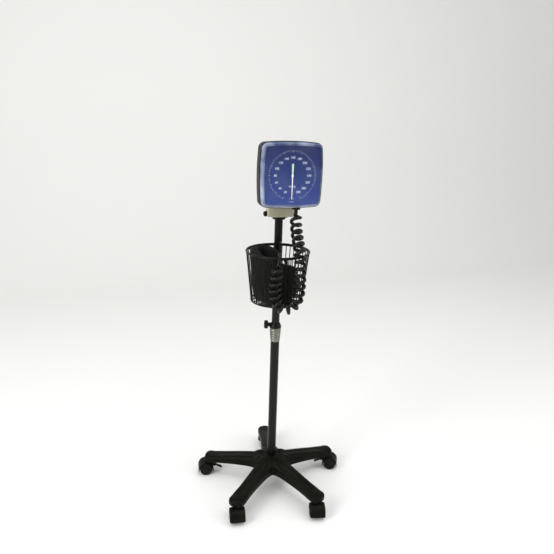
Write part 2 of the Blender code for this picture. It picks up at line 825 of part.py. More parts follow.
def build_pedal(number, stem_place, root, plastic):
    """A brake pedal with its own trunnions, pressed down."""
    place = stem_place @ Matrix.Translation((-PEDAL_PIVOT_FORWARD, 0, PEDAL_PIVOT_HEIGHT))
    axis = new_axis(f"caster_{number}_pedal_axis", place, root)
    half = PEDAL_WIDTH / 2
    pedal = rod(f"caster_{number}_pedal", PEDAL_EYE_RADIUS, (0, -half, 0), (0, half, 0))
    reach = half + RUNNING_FIT + PEDAL_CHEEK
    pin = rod(f"pedal_pin_{number}", PEDAL_PIN_RADIUS, (0, -reach, 0), (0, reach, 0))
    combine(pedal, pin, "UNION")
    tongue = block(
        f"pedal_tongue_{number}",
        (-PEDAL_REACH, -PEDAL_TONGUE_WIDTH / 2, -PEDAL_THICKNESS / 2),
        (0, PEDAL_TONGUE_WIDTH / 2, PEDAL_THICKNESS / 2),
    )
    combine(pedal, moved(tongue, Matrix.Rotation(-PEDAL_DROP, 4, "Y")), "UNION")
    put(moved(pedal, place), axis, plastic)


def build_mast(mast_axis, glide_axis, chrome, black):
    """The upper tube, with the glide bush that guides its lower end."""
    bore = UPPER_TUBE_RADIUS - UPPER_TUBE_WALL
    tube = turned(
        "upper_tube",
        [
            (bore, UPPER_TUBE_BOTTOM),
            (UPPER_TUBE_RADIUS, UPPER_TUBE_BOTTOM),
            (UPPER_TUBE_RADIUS, UPPER_TUBE_TOP),
            (bore, UPPER_TUBE_TOP),
        ],
    )
    button_way = rod(
        "button_way_in_tube",
        BUTTON_RADIUS + FIT,
        (0, 0, BUTTON_HEIGHT),
        (UPPER_TUBE_RADIUS + OVERRUN, 0, BUTTON_HEIGHT),
    )
    combine(tube, moved(button_way, about_z(BUTTON_SIDE)), "DIFFERENCE")
    put(tube, mast_axis, chrome)

    flange = LOWER_TUBE_RADIUS - LOWER_TUBE_WALL - FIT
    seat = UPPER_TUBE_BOTTOM - FIT
    bush = turned(
        "glide_bush",
        [
            (0, seat - BUSH_HEIGHT),
            (flange, seat - BUSH_HEIGHT),
            (flange, seat),
            (bore - FIT, seat),
            (bore - FIT, seat + BUSH_SPIGOT),
            (0, seat + BUSH_SPIGOT),
        ],
    )
    put(bush, glide_axis, black)


def basket_radius(height):
    """The basket's outer radius at a height."""
    share = (height - BASKET_BOTTOM) / (BASKET_TOP - BASKET_BOTTOM)
    return BASKET_BOTTOM_RADIUS + (BASKET_TOP_RADIUS - BASKET_BOTTOM_RADIUS) * share


def pierced_wall(name):
    """The basket's tapered wall: upright wires between a rim band and a foot band."""
    heights = [
        BASKET_BOTTOM,
        BASKET_BOTTOM + BASKET_FOOT_BAND,
        BASKET_TOP - BASKET_RIM_BAND,
        BASKET_TOP,
    ]
    turns = []
    half = BASKET_WIRE / 2 / BASKET_TOP_RADIUS
    for wire in range(BASKET_WIRES):
        angle = math.tau * wire / BASKET_WIRES
        turns.extend([angle - half, angle + half])
    count = len(turns)
    points = []
    for inset in (0, BASKET_WIRE):
        for height in heights:
            radius = basket_radius(height) - inset
            for angle in turns:
                points.append((radius * math.cos(angle), radius * math.sin(angle), height))

    def corner(layer, row, column):
        return (layer * len(heights) + row) * count + column % count

    def solid(row, column):
        return 0 <= row < len(heights) - 1 and (row != 1 or column % 2 == 0)

    faces = []
    for row in range(len(heights) - 1):
        for column in range(count):
            if not solid(row, column):
                continue
            for layer in (0, 1):
                faces.append(
                    [
                        corner(layer, row, column),
                        corner(layer, row, column + 1),
                        corner(layer, row + 1, column + 1),
                        corner(layer, row + 1, column),
                    ]
                )
            for side in (0, 1):
                if not solid(row, column + (1 if side else -1)):
                    edge = column + side
                    faces.append(
                        [
                            corner(0, row, edge),
                            corner(1, row, edge),
                            corner(1, row + 1, edge),
                            corner(0, row + 1, edge),
                        ]
                    )
                if not solid(row + (1 if side else -1), column):
                    level = row + side
                    faces.append(
                        [
                            corner(0, level, column),
                            corner(1, level, column),
                            corner(1, level, column + 1),
                            corner(0, level, column + 1),
                        ]
                    )
    return new_piece(name, points, faces)


def build_basket(mast_axis, wire, black, steel):
    """The basket and the clamp ring and screw that hold it up."""
    turn = about_z(BASKET_TURN)
    centre = Matrix.Translation((0, -BASKET_OFFSET, 0))
    basket = moved(pierced_wall("basket"), centre)
    reach = BASKET_BOTTOM_RADIUS - BASKET_WIRE / 2
    for bar in range(BASKET_FLOOR_BARS // 2):
        spoke = block(
            f"floor_bar_{bar}",
            (-reach, -BASKET_WIRE / 2, BASKET_BOTTOM),
            (reach, BASKET_WIRE / 2, BASKET_BOTTOM + BASKET_WIRE),
        )
        angle = math.tau * bar / BASKET_FLOOR_BARS
        combine(basket, moved(spoke, centre @ about_z(angle)), "UNION")
    way = UPPER_TUBE_RADIUS + FIT
    collar = rod(
        "basket_collar",
        way + BASKET_COLLAR_WALL,
        (0, 0, BASKET_BOTTOM),
        (0, 0, BASKET_BOTTOM + BASKET_COLLAR_HEIGHT),
        ROUND_STEPS,
    )
    combine(basket, collar, "UNION")
    pole_way = rod(
        "pole_way",
        way,
        (0, 0, BASKET_BOTTOM - OVERRUN),
        (0, 0, BASKET_BOTTOM + BASKET_COLLAR_HEIGHT + OVERRUN),
        ROUND_STEPS,
    )
    combine(basket, pole_way, "DIFFERENCE")
    put(moved(basket, turn), mast_axis, wire)

    top = BASKET_BOTTOM - FIT
    foot = top - CLAMP_HEIGHT
    middle = top - CLAMP_HEIGHT / 2
    clamp = turned(
        "basket_clamp",
        [(way, foot), (way + CLAMP_WALL, foot), (way + CLAMP_WALL, top), (way, top)],
    )
    screw_way = rod(
        "clamp_screw_way",
        CLAMP_SCREW_RADIUS + FIT,
        (0, 0, middle),
        (way + CLAMP_WALL + OVERRUN, 0, middle),
    )
    side = about_z(CLAMP_SCREW_SIDE)
    combine(clamp, screw_way, "DIFFERENCE")
    put(moved(clamp, side), mast_axis, black)
    seat = way + CLAMP_WALL + FIT
    screw = turned(
        "clamp_screw",
        [
            (0, UPPER_TUBE_RADIUS + FIT),
            (CLAMP_SCREW_RADIUS, UPPER_TUBE_RADIUS + FIT),
            (CLAMP_SCREW_RADIUS, seat),
            (CLAMP_SCREW_HEAD_RADIUS, seat),
            (CLAMP_SCREW_HEAD_RADIUS, seat + CLAMP_SCREW_HEAD_HEIGHT),
            (0, seat + CLAMP_SCREW_HEAD_HEIGHT),
        ],
        SMALL_STEPS,
    )
    outward = side @ Matrix.Translation((0, 0, middle)) @ Matrix.Rotation(math.pi / 2, 4, "Y")
    put(moved(screw, outward), mast_axis, steel)


def above_foot(place):
    """A place whose height is given above the basket's foot."""
    return (place[0], place[1], BASKET_BOTTOM + place[2])


def hose_top():
    """The height at which the hose leaves the gauge's inlet."""
    return GAUGE_HEIGHT - GAUGE_HALF - HOSE_BELOW_GAUGE


def smooth_path(knots, count):
    """Even steps along a smooth curve through the knots."""
    knots = np.array(knots, dtype=float)
    padded = np.vstack([2 * knots[0] - knots[1], knots, 2 * knots[-1] - knots[-2]])
    fine = []
    for i in range(len(knots) - 1):
        a, b, c, d = padded[i : i + 4]
        for t in np.linspace(0, 1, 40, endpoint=False):
            fine.append(
                b
                + (c - a) * t / 2
                + (2 * a - 5 * b + 4 * c - d) * t**2 / 2
                + (3 * b - a - 3 * c + d) * t**3 / 2
            )
    fine.append(knots[-1])
    fine = np.array(fine)
    along = np.concatenate([[0], np.cumsum(np.linalg.norm(np.diff(fine, axis=0), axis=1))])
    even = np.linspace(0, along[-1], count)
    return np.stack([np.interp(even, along, fine[:, k]) for k in range(3)], axis=1), along[-1]


def hose_line():
    """The hose's centre line: curls from a formula round the route, then a plain tail."""
    steps = 4001
    start = about_z(-BASKET_TURN) @ Vector((INLET_SIDE, -INLET_FORWARD, hose_top()))
    route = [tuple(start), (start.x, start.y, start.z - HOSE_START_RUN)]
    route.extend(above_foot(place) for place in HOSE_ROUTE)
    path, length = smooth_path(route, steps)
    heading = np.gradient(path, axis=0)
    heading /= np.linalg.norm(heading, axis=1)[:, None]
    side = np.cross(heading[0], (0, 1, 0))
    side /= np.linalg.norm(side)
    sides = []
    for ahead in heading:
        side = side - ahead * (side @ ahead)
        side /= np.linalg.norm(side)
        sides.append(side)
    sides = np.array(sides)
    lifts = np.cross(heading, sides)
    along = np.linspace(0, length, steps)
    curls_to = length - HOSE_PLAIN_TAIL
    grow = np.clip((along - HOSE_CURLS_FROM) / HOSE_CURLS_GROW, 0, 1)
    fade = np.clip((curls_to - along) / HOSE_CURLS_GROW, 0, 1)
    radius = CURL_RADIUS * np.sin(np.minimum(grow, fade) * np.pi / 2) ** 2
    pitch = CURL_PITCH_LOW + (CURL_PITCH_TOP - CURL_PITCH_LOW) * np.exp(
        -along / HOSE_PITCH_HALFWAY * np.log(2)
    )
    phase = math.tau * np.cumsum((length / (steps - 1)) / pitch)
    curl = np.cos(phase)[:, None] * sides + np.sin(phase)[:, None] * lifts
    line = path + radius[:, None] * curl
    picks = [0]
    for i in range(1, steps):
        plain = along[i] < HOSE_CURLS_FROM or along[i] > curls_to
        if plain and along[i] - along[picks[-1]] >= HOSE_PLAIN_STEP:
            picks.append(i)
        elif not plain and phase[i] - phase[picks[-1]] >= math.tau / CURL_POINTS:
            picks.append(i)
    picks[-1] = steps - 1
    return line[picks]


def least_gap(line):
    """The least clear gap between stretches of the hose that are over half a curl apart."""
    fine = []
    for start, end in zip(line, line[1:]):
        for t in np.linspace(0, 1, 4, endpoint=False):
            fine.append(start + (end - start) * t)
    fine = np.array(fine)
    apart = np.linalg.norm(fine[:, None] - fine[None], axis=2)
    rows, columns = np.indices(apart.shape)
    far = np.abs(rows - columns) > CURL_POINTS * 2
    return apart[far].min() - 2 * HOSE_RADIUS


def tube_curve(name, line, radius, axis, material, sides=1):
    """A round tube along a line of points."""
    curve = bpy.data.curves.new(name, "CURVE")
    curve.dimensions = "3D"
    curve.bevel_depth = radius
    curve.bevel_resolution = sides
    curve.resolution_u = 1
    curve.render_resolution_u = 0
    curve.use_fill_caps = True
    run = curve.splines.new("POLY")
    run.points.add(len(line) - 1)
    inward = PLACES[axis.name].inverted()
    for knot, point in zip(run.points, line):
        knot.co = (*(inward @ Vector(point)), 1)
    tube = bpy.data.objects.new(name, curve)
    bpy.context.collection.objects.link(tube)
    tube.parent = axis
    curve.materials.append(material)
    return tube


def build_hose(mast_axis, rubber):
    """The curly hose, from the gauge's inlet to the cuff's port."""
    line = hose_line()
    turn = about_z(BASKET_TURN)
    placed = [turn @ Vector(point) for point in line]
    tube_curve("curly_hose", placed, HOSE_RADIUS, mast_axis, rubber)
    length = np.linalg.norm(np.diff(line, axis=0), axis=1).sum()
    print(f"hose: {len(line)} points, {length:.4f} m long, least gap {least_gap(line):.5f} m")
    end = Vector(line[-1])
    return end, (end - Vector(line[-2])).normalized()


def leaned(place, height):
    """A place in the basket's plan, moved out as the basket's wall leans, at a height."""
    wider = (BASKET_TOP_RADIUS - BASKET_BOTTOM_RADIUS) * height / BASKET_DEPTH
    share = 1 + wider / BASKET_BOTTOM_RADIUS
    return Vector((place[0] * share, place[1] * share - BASKET_OFFSET, BASKET_BOTTOM + height))


def build_cuff(mast_axis, cloth, hose_end, hose_heading):
    """The cuff: a plump band folded once and stood in the basket, with the port for the hose."""
    spine, length = smooth_path(CUFF_FOLDS, CUFF_STEPS)
    heading = np.gradient(spine[:, :2], axis=0)
    heading /= np.linalg.norm(heading, axis=1)[:, None]
    rings = []
    for i, (x, y, edge) in enumerate(spine):
        share = i / (CUFF_STEPS - 1)
        end = min(share, 1 - share) * length
        swell = math.sqrt(1 - (1 - min(end / (CUFF_THICKNESS / 2), 1)) ** 2)
        swell = max(swell, CUFF_CREASE_SHARE)
        half = (edge - CUFF_FOOT) / 2 - CUFF_THICKNESS / 2 * (1 - swell)
        ring = []
        for step in range(CUFF_ROUND):
            angle = math.tau * step / CUFF_ROUND
            across = math.copysign(abs(math.cos(angle)) ** 0.45, math.cos(angle))
            through = math.copysign(abs(math.sin(angle)) ** 0.6, math.sin(angle))
            crease = CUFF_FOLD_DEPTH * math.exp(-((math.sin(angle) / CUFF_CREASE_SHARE) ** 2))
            out = through * CUFF_THICKNESS / 2 * swell
            place = (x + heading[i][1] * out, y - heading[i][0] * out)
            height = (edge + CUFF_FOOT) / 2 + across * (half - crease)
            ring.append(tuple(leaned(place, height)))
        rings.append(ring)
    cuff = lofted("cuff", rings)
    start = hose_end + hose_heading * FIT
    port = rod("cuff_port", CUFF_PORT_RADIUS, start, start + hose_heading * CUFF_PORT_LENGTH)
    combine(cuff, port, "UNION")
    put(moved(cuff, about_z(BASKET_TURN)), mast_axis, cloth)


def build_bulb(mast_axis, valve_axis, rubber, steel):
    """The inflation bulb with its valve, and the tube to the cuff."""
    half = BULB_LENGTH / 2
    neck = math.asin(BULB_NECK_RADIUS / BULB_RADIUS)
    count = 12
    profile = [(0, -half - CHECK_VALVE_LENGTH), (BULB_NECK_RADIUS, -half - CHECK_VALVE_LENGTH)]
    for step in range(count + 1):
        angle = neck + (math.pi - 2 * neck) * step / count
        profile.append((BULB_RADIUS * math.sin(angle), -half * math.cos(angle) / math.cos(neck)))
    profile.append((0, half))
    place = bulb_place()
    bulb = turned("bulb", profile, 24)
    put(moved(bulb, place), mast_axis, rubber)
    foot = half + FIT
    top = foot + VALVE_LENGTH
    body = turned(
        "valve_body",
        [(0, foot), (VALVE_RADIUS, foot), (VALVE_RADIUS, top), (0, top)],
        SMALL_STEPS,
    )
    put(moved(body, place), mast_axis, steel)
    seat = top + FIT
    screw = turned(
        "valve_screw",
        [
            (0, seat),
            (VALVE_SCREW_RADIUS, seat),
            (VALVE_SCREW_RADIUS, seat + VALVE_SCREW_LENGTH),
            (0, seat + VALVE_SCREW_LENGTH),
        ],
        SMALL_STEPS,
    )
    put(moved(screw, place), valve_axis, steel)
    middle = place @ Vector((0, 0, (foot + top) / 2))
    turn = about_z(BASKET_TURN)
    local = turn.inverted() @ middle
    inner = leaned(CUFF_FOLDS[-1], local.z - BASKET_BOTTOM)
    lean_room = VALVE_RADIUS / math.cos(BULB_LEAN) + BULB_TUBE_RADIUS * math.sin(BULB_LEAN)
    start = Vector((local.x - lean_room - FIT, local.y, local.z))
    stop = Vector((inner.x + FIT, inner.y, local.z))
    knots = [tuple(start), tuple((start + stop) / 2), tuple(stop)]
    line, _ = smooth_path(knots, 7)
    placed = [turn @ Vector(point) for point in line]
    tube_curve("bulb_tube", placed, BULB_TUBE_RADIUS, mast_axis, rubber)


def bulb_place():
    """Where the bulb's middle lies, with its length along its own Z."""
    lean = Matrix.Rotation(-BULB_LEAN, 4, "Y")
    return about_z(BASKET_TURN) @ Matrix.Translation(above_foot(BULB_CENTRE)) @ lean


def build_head(mast_axis, head_axis, knob_axis, button_axis, finishes):
    """The head block on the mast, the yoke that tilts on it, their axle and the button."""
    black, grey, steel = finishes
    bore = UPPER_TUBE_RADIUS - UPPER_TUBE_WALL
    block_foot = HEAD_FLANGE_BOTTOM + HEAD_FLANGE_HEIGHT
    head = rod(
        "head_block",
        HEAD_FLANGE_RADIUS,
        (0, 0, HEAD_FLANGE_BOTTOM),
        (0, 0, block_foot),
        ROUND_STEPS,
    )
    body = block(
        "head_body",
        (-HEAD_HALF_WIDTH, -TILT_AXIS_FORWARD, block_foot - FIT),
        (HEAD_HALF_WIDTH, HEAD_BACK, HEAD_TOP),
    )
    combine(head, body, "UNION")
    barrel_half = YOKE_HALF_WIDTH - YOKE_PLATE - RUNNING_FIT
    axle_at = (-TILT_AXIS_FORWARD, TILT_AXIS_HEIGHT)
    barrel = rod(
        "head_barrel",
        BARREL_RADIUS,
        (-barrel_half, *axle_at),
        (barrel_half, *axle_at),
        ROUND_STEPS,
    )
    combine(head, barrel, "UNION")
    tube_room = turned(
        "tube_room",
        [
            (bore - FIT, HEAD_FLANGE_BOTTOM - OVERRUN),
            (UPPER_TUBE_RADIUS + FIT, HEAD_FLANGE_BOTTOM - OVERRUN),
            (UPPER_TUBE_RADIUS + FIT, UPPER_TUBE_TOP + FIT),
            (bore - FIT, UPPER_TUBE_TOP + FIT),
        ],
    )
    combine(head, tube_room, "DIFFERENCE")
    post = rod(
        "head_post",
        bore - FIT - POST_EASE,
        (0, 0, POST_BOTTOM),
        (0, 0, HEAD_FLANGE_BOTTOM + HEAD_FLANGE_HEIGHT),
        ROUND_STEPS,
    )
    combine(head, post, "UNION")
    axle_way = rod(
        "axle_way",
        TILT_AXLE_RADIUS + FIT,
        (-barrel_half - OVERRUN, *axle_at),
        (barrel_half + OVERRUN, *axle_at),
    )
    combine(head, axle_way, "DIFFERENCE")
    inner_end = UPPER_TUBE_RADIUS + BUTTON_PROUD - BUTTON_LENGTH
    button_way = rod(
        "button_way",
        BUTTON_RADIUS + FIT,
        (inner_end - BUTTON_PROUD, 0, BUTTON_HEIGHT),
        (UPPER_TUBE_RADIUS + OVERRUN, 0, BUTTON_HEIGHT),
    )
    combine(head, moved(button_way, about_z(BUTTON_SIDE)), "DIFFERENCE")
    put(head, mast_axis, black)

    button = turned(
        "snap_button",
        [
            (0, 0),
            (BUTTON_RADIUS, 0),
            (BUTTON_RADIUS, BUTTON_LENGTH - BUTTON_RADIUS / 2),
            (BUTTON_RADIUS / 2, BUTTON_LENGTH),
            (0, BUTTON_LENGTH),
        ],
        SMALL_STEPS,
    )
    outward = Matrix.Translation((inner_end, 0, BUTTON_HEIGHT)) @ Matrix.Rotation(
        math.pi / 2, 4, "Y"
    )
    put(moved(button, about_z(BUTTON_SIDE) @ outward), button_axis, steel)

    plate_back = -YOKE_FRONT + YOKE_PLATE
    outline = rounded_square_outline(
        YOKE_HALF_WIDTH, (YOKE_TOP - YOKE_BOTTOM) / 2, YOKE_CORNER, 0, 0
    )
    middle = (YOKE_TOP + YOKE_BOTTOM) / 2
    plate = lofted(
        "yoke",
        [[(x, y, middle + z) for x, z in outline] for y in (-YOKE_FRONT, plate_back)],
    )
    for side in (-1, 1):
        faces = sorted((side * YOKE_HALF_WIDTH, side * (YOKE_HALF_WIDTH - YOKE_PLATE)))
        rear = -TILT_AXIS_FORWARD + YOKE_EAR_DEPTH / 2
        ear = block(
            f"yoke_ear_{side}",
            (faces[0], -YOKE_FRONT + YOKE_PLATE / 2, YOKE_BOTTOM + YOKE_CORNER / 4),
            (faces[1], rear, YOKE_EAR_TOP),
        )
        combine(plate, ear, "UNION")
    ear_way = rod(
        "ear_way",
        TILT_AXLE_RADIUS + FIT,
        (-YOKE_HALF_WIDTH - OVERRUN, *axle_at),
        (YOKE_HALF_WIDTH + OVERRUN, *axle_at),
    )
    combine(plate, ear_way, "DIFFERENCE")
    for side in (-1, 1):
        screw_way = rod(
            f"yoke_screw_way_{side}",
            YOKE_SCREW_RADIUS + FIT,
            (side * YOKE_SCREW_SPREAD, -YOKE_FRONT - OVERRUN, YOKE_SCREW_HEIGHT),
            (side * YOKE_SCREW_SPREAD, plate_back + OVERRUN, YOKE_SCREW_HEIGHT),
        )
        combine(plate, screw_way, "DIFFERENCE")
    put(plate, head_axis, grey)

    seat = YOKE_HALF_WIDTH + FIT
    axle = rod(
        "tilt_axle",
        TILT_AXLE_RADIUS,
        (-seat - TILT_KNOB_HEIGHT / 2, *axle_at),
        (seat + AXLE_HEAD_HEIGHT / 2, *axle_at),
    )
    axle_head = rod(
        "tilt_axle_head",
        AXLE_HEAD_RADIUS,
        (seat, *axle_at),
        (seat + AXLE_HEAD_HEIGHT, *axle_at),
    )
    combine(axle, axle_head, "UNION")
    put(axle, head_axis, steel)
    knob = turned(
        "tilt_nut",
        [
            (0, TILT_KNOB_HEIGHT / 2 + FIT),
            (TILT_AXLE_RADIUS + FIT, TILT_KNOB_HEIGHT / 2 + FIT),
            (TILT_AXLE_RADIUS + FIT, 0),
            (TILT_KNOB_RADIUS, 0),
            (TILT_KNOB_RADIUS, TILT_KNOB_HEIGHT - TILT_KNOB_NOTCH),
            (TILT_KNOB_RADIUS - TILT_KNOB_NOTCH, TILT_KNOB_HEIGHT),
            (0, TILT_KNOB_HEIGHT),
        ],
        SMALL_STEPS,
    )
    leftward = Matrix.Translation((-seat, *axle_at)) @ Matrix.Rotation(-math.pi / 2, 4, "Y")
    put(moved(knob, leftward), knob_axis, black)

    for side, label in ((-1, "left"), (1, "right")):
        head_seat = plate_back + FIT
        screw = turned(
            f"yoke_screw_{label}",
            [
                (0, head_seat - YOKE_SCREW_LENGTH),
                (YOKE_SCREW_RADIUS, head_seat - YOKE_SCREW_LENGTH),
                (YOKE_SCREW_RADIUS, head_seat),
                (YOKE_SCREW_HEAD_RADIUS, head_seat),
                (YOKE_SCREW_HEAD_RADIUS, head_seat + YOKE_SCREW_HEAD_HEIGHT),
                (0, head_seat + YOKE_SCREW_HEAD_HEIGHT),
            ],
            SMALL_STEPS,
        )
        backward = Matrix.Translation(
            (side * YOKE_SCREW_SPREAD, 0, YOKE_SCREW_HEIGHT)
        ) @ Matrix.Rotation(-math.pi / 2, 4, "X")
        put(moved(screw, backward), head_axis, steel)


def rounded_square_outline(half_width, half_height, corner, bulge, inset):
    """(x, z) points round a square with rounded corners and slightly bulged sides."""
    points = []
    corner = corner - inset
    flat_x = half_width - inset - corner
    flat_z = half_height - inset - corner
    arc_steps = 4
    side_shares = (0.3, 0.5, 0.7)
    for quarter in range(4):
        angle = quarter * math.pi / 2
        swap = quarter % 2 == 1
        run, reach = (flat_x, flat_z + corner) if swap else (flat_z, flat_x + corner)
        for step in range(arc_steps + 1):
            turn = angle - math.pi / 4 + math.pi / 2 * (step / arc_steps) - math.pi / 4
            sign_x = 1 if quarter in (0, 1) else -1
            sign_z = 1 if quarter in (1, 2) else -1
            points.append(
                (
                    sign_x * flat_x + corner * math.cos(turn),
                    sign_z * flat_z + corner * math.sin(turn),
                )
            )
        for share in side_shares:
            place = -run + 2 * run * share
            out = reach + bulge * (1 - (2 * share - 1) ** 2)
            points.append(
                (
                    out * math.cos(angle) - place * math.sin(angle),
                    out * math.sin(angle) + place * math.cos(angle),
                )
            )
    return points


def gauge_ring(inset, forward):
    """The gauge's outline, drawn in by an inset, at a distance in front of the pole."""
    outline = rounded_square_outline(GAUGE_HALF, GAUGE_HALF, GAUGE_CORNER, GAUGE_BULGE, inset)
    return [(x, -forward, GAUGE_HEIGHT + z) for x, z in outline]


def build_gauge(head_axis, needle_axis, finishes):
    """The gauge: case, dial, clear cover, needle, movement, capsule and hose inlet."""
    black, blue, clear, white, brass, steel = finishes
    back = CASE_FRONT - CASE_SIDE_DEPTH - CASE_SHOULDER_DEPTH
    shoulder = CASE_FRONT - CASE_SIDE_DEPTH
    case = lofted(
        "rear_case",
        [
            gauge_ring(CASE_SHOULDER_INSET, back),
            gauge_ring(0, shoulder),
            gauge_ring(0, CASE_FRONT),
            gauge_ring(CASE_WALL, CASE_FRONT),
            gauge_ring(CASE_WALL, shoulder + CASE_WALL),
            gauge_ring(CASE_SHOULDER_INSET + CASE_WALL, back + CASE_WALL),
        ],
    )
    boss = block(
        "back_boss",
        (-BACK_BOSS_HALF_WIDTH, -back - CASE_WALL / 2, BACK_BOSS_BOTTOM),
        (BACK_BOSS_HALF_WIDTH, -YOKE_FRONT - FIT, BACK_BOSS_TOP),
    )
    combine(case, boss, "UNION")
    inlet_way = rod(
        "inlet_way",
        INLET_PIPE_RADIUS + FIT,
        (INLET_SIDE, -INLET_FORWARD, GAUGE_HEIGHT - GAUGE_HALF - OVERRUN),
        (INLET_SIDE, -INLET_FORWARD, GAUGE_HEIGHT - GAUGE_HALF + OVERRUN),
    )
    combine(case, inlet_way, "DIFFERENCE")
    for side in (-1, 1):
        screw_way = rod(
            f"case_screw_way_{side}",
            YOKE_SCREW_RADIUS + FIT,
            (
                side * YOKE_SCREW_SPREAD,
                -YOKE_FRONT + YOKE_PLATE - YOKE_SCREW_LENGTH,
                YOKE_SCREW_HEIGHT,
            ),
            (side * YOKE_SCREW_SPREAD, -YOKE_FRONT + OVERRUN, YOKE_SCREW_HEIGHT),
        )
        combine(case, screw_way, "DIFFERENCE")
    put(case, head_axis, black)

    plate = lofted(
        "dial_plate",
        [
            gauge_ring(DIAL_INSET, DIAL_FRONT - DIAL_PLATE_THICKNESS),
            gauge_ring(DIAL_INSET, DIAL_FRONT),
        ],
    )
    arbor_way = rod(
        "arbor_way",
        ARBOR_RADIUS + FIT,
        (0, -DIAL_FRONT - OVERRUN, GAUGE_HEIGHT),
        (0, -DIAL_FRONT + OVERRUN, GAUGE_HEIGHT),
    )
    combine(plate, arbor_way, "DIFFERENCE")
    put(plate, head_axis, blue)

    foot = CASE_FRONT + FIT
    face = CASE_FRONT + LENS_DEPTH
    window = [
        gauge_ring(LENS_FRONT_INSET + GAUGE_CORNER / 4, face),
        gauge_ring(LENS_FRONT_INSET + GAUGE_CORNER / 4, face - LENS_WALL),
    ]
    lens = lofted(
        "lens_cover",
        [
            window[0],
            gauge_ring(LENS_FRONT_INSET, face),
            gauge_ring(LENS_FOOT_INSET, foot),
            gauge_ring(LENS_FOOT_INSET + LENS_WALL, foot),
            gauge_ring(LENS_FRONT_INSET + LENS_WALL, face - LENS_WALL),
            window[1],
        ],
    )
    put(lens, head_axis, clear)

    needle_back = DIAL_FRONT + NEEDLE_STANDOFF
    needle_front = needle_back + NEEDLE_THICKNESS
    outline = [
        (-NEEDLE_TIP_WIDTH / 2, -NEEDLE_LENGTH),
        (NEEDLE_TIP_WIDTH / 2, -NEEDLE_LENGTH),
        (NEEDLE_ROOT_WIDTH / 2, 0),
        (NEEDLE_TAIL_WIDTH / 2, NEEDLE_HUB_RADIUS),
        (NEEDLE_TAIL_WIDTH / 2, NEEDLE_TAIL),
        (-NEEDLE_TAIL_WIDTH / 2, NEEDLE_TAIL),
        (-NEEDLE_TAIL_WIDTH / 2, NEEDLE_HUB_RADIUS),
        (-NEEDLE_ROOT_WIDTH / 2, 0),
    ]
    needle = lofted(
        "needle",
        [[(x, -y, GAUGE_HEIGHT + z) for x, z in outline] for y in (needle_back, needle_front)],
    )
    hub = rod(
        "needle_hub",
        NEEDLE_HUB_RADIUS,
        (0, -needle_back, GAUGE_HEIGHT),
        (0, -needle_front - NEEDLE_THICKNESS / 2, GAUGE_HEIGHT),
    )
    combine(needle, hub, "UNION")
    put(needle, needle_axis, white)
    arbor_front = needle_back - FIT
    arbor = rod(
        "needle_arbor",
        ARBOR_RADIUS,
        (0, -arbor_front, GAUGE_HEIGHT),
        (0, -arbor_front + ARBOR_LENGTH, GAUGE_HEIGHT),
    )
    put(arbor, needle_axis, steel)

    movement_front = DIAL_FRONT - DIAL_PLATE_THICKNESS - FIT
    movement_back = movement_front - MOVEMENT_DEPTH
    movement = block(
        "movement",
        (-MOVEMENT_HALF, -movement_front, GAUGE_HEIGHT - MOVEMENT_HALF),
        (MOVEMENT_HALF, -movement_back, GAUGE_HEIGHT + MOVEMENT_HALF),
    )
    arbor_well = rod(
        "arbor_well",
        ARBOR_RADIUS + FIT,
        (0, -movement_front - OVERRUN, GAUGE_HEIGHT),
        (0, -arbor_front + ARBOR_LENGTH + FIT, GAUGE_HEIGHT),
    )
    combine(movement, arbor_well, "DIFFERENCE")
    put(movement, head_axis, brass)
    capsule_front = movement_back - FIT
    profile = [(0, 0)]
    for fold in range(CAPSULE_FOLDS):
        low = CAPSULE_DEPTH * fold / CAPSULE_FOLDS
        high = CAPSULE_DEPTH * (fold + 1) / CAPSULE_FOLDS
        profile.append((CAPSULE_RADIUS - CAPSULE_DEPTH / CAPSULE_FOLDS / 2, low))
        profile.append((CAPSULE_RADIUS, (low + high) / 2))
    profile.append((CAPSULE_RADIUS - CAPSULE_DEPTH / CAPSULE_FOLDS / 2, CAPSULE_DEPTH))
    profile.append((0, CAPSULE_DEPTH))
    capsule = turned("capsule", profile)
    backward = Matrix.Translation((0, -capsule_front, GAUGE_HEIGHT)) @ Matrix.Rotation(
        -math.pi / 2, 4, "X"
    )
    put(moved(capsule, backward), head_axis, brass)

    inlet_foot = hose_top() + FIT
    inlet_seat = GAUGE_HEIGHT - GAUGE_HALF - GAUGE_BULGE - FIT
    inlet = turned(
        "hose_inlet",
        [
            (0, inlet_foot),
            (INLET_PIPE_RADIUS + LENS_WALL / 2, inlet_foot),
            (INLET_PIPE_RADIUS + LENS_WALL / 2, inlet_seat - INLET_FLANGE_HEIGHT),
            (INLET_FLANGE_RADIUS, inlet_seat - INLET_FLANGE_HEIGHT),
            (INLET_FLANGE_RADIUS, inlet_seat),
            (INLET_PIPE_RADIUS, inlet_seat),
            (INLET_PIPE_RADIUS, inlet_seat + INLET_HEAD),
            (0, inlet_seat + INLET_HEAD),
        ],
        SMALL_STEPS,
    )
    put(moved(inlet, Matrix.Translation((INLET_SIDE, -INLET_FORWARD, 0))), head_axis, black)


def footprint_centre(skipped):
    """The middle of the model's box, seen from above, without the hose."""
    scene = bpy.context.evaluated_depsgraph_get()
    low = Vector((0, 0, 0))
    high = Vector((0, 0, 0))
    for piece in bpy.data.objects:
        if piece.type != "MESH" or piece.hide_render or piece.name in skipped:
            continue
        shape = piece.evaluated_get(scene)
        for corner in shape.data.vertices:
            place = PLACES[piece.parent.name] @ corner.co
            low = Vector([min(a, b) for a, b in zip(low, place)])
            high = Vector([max(a, b) for a, b in zip(high, place)])
    return (low + high) / 2


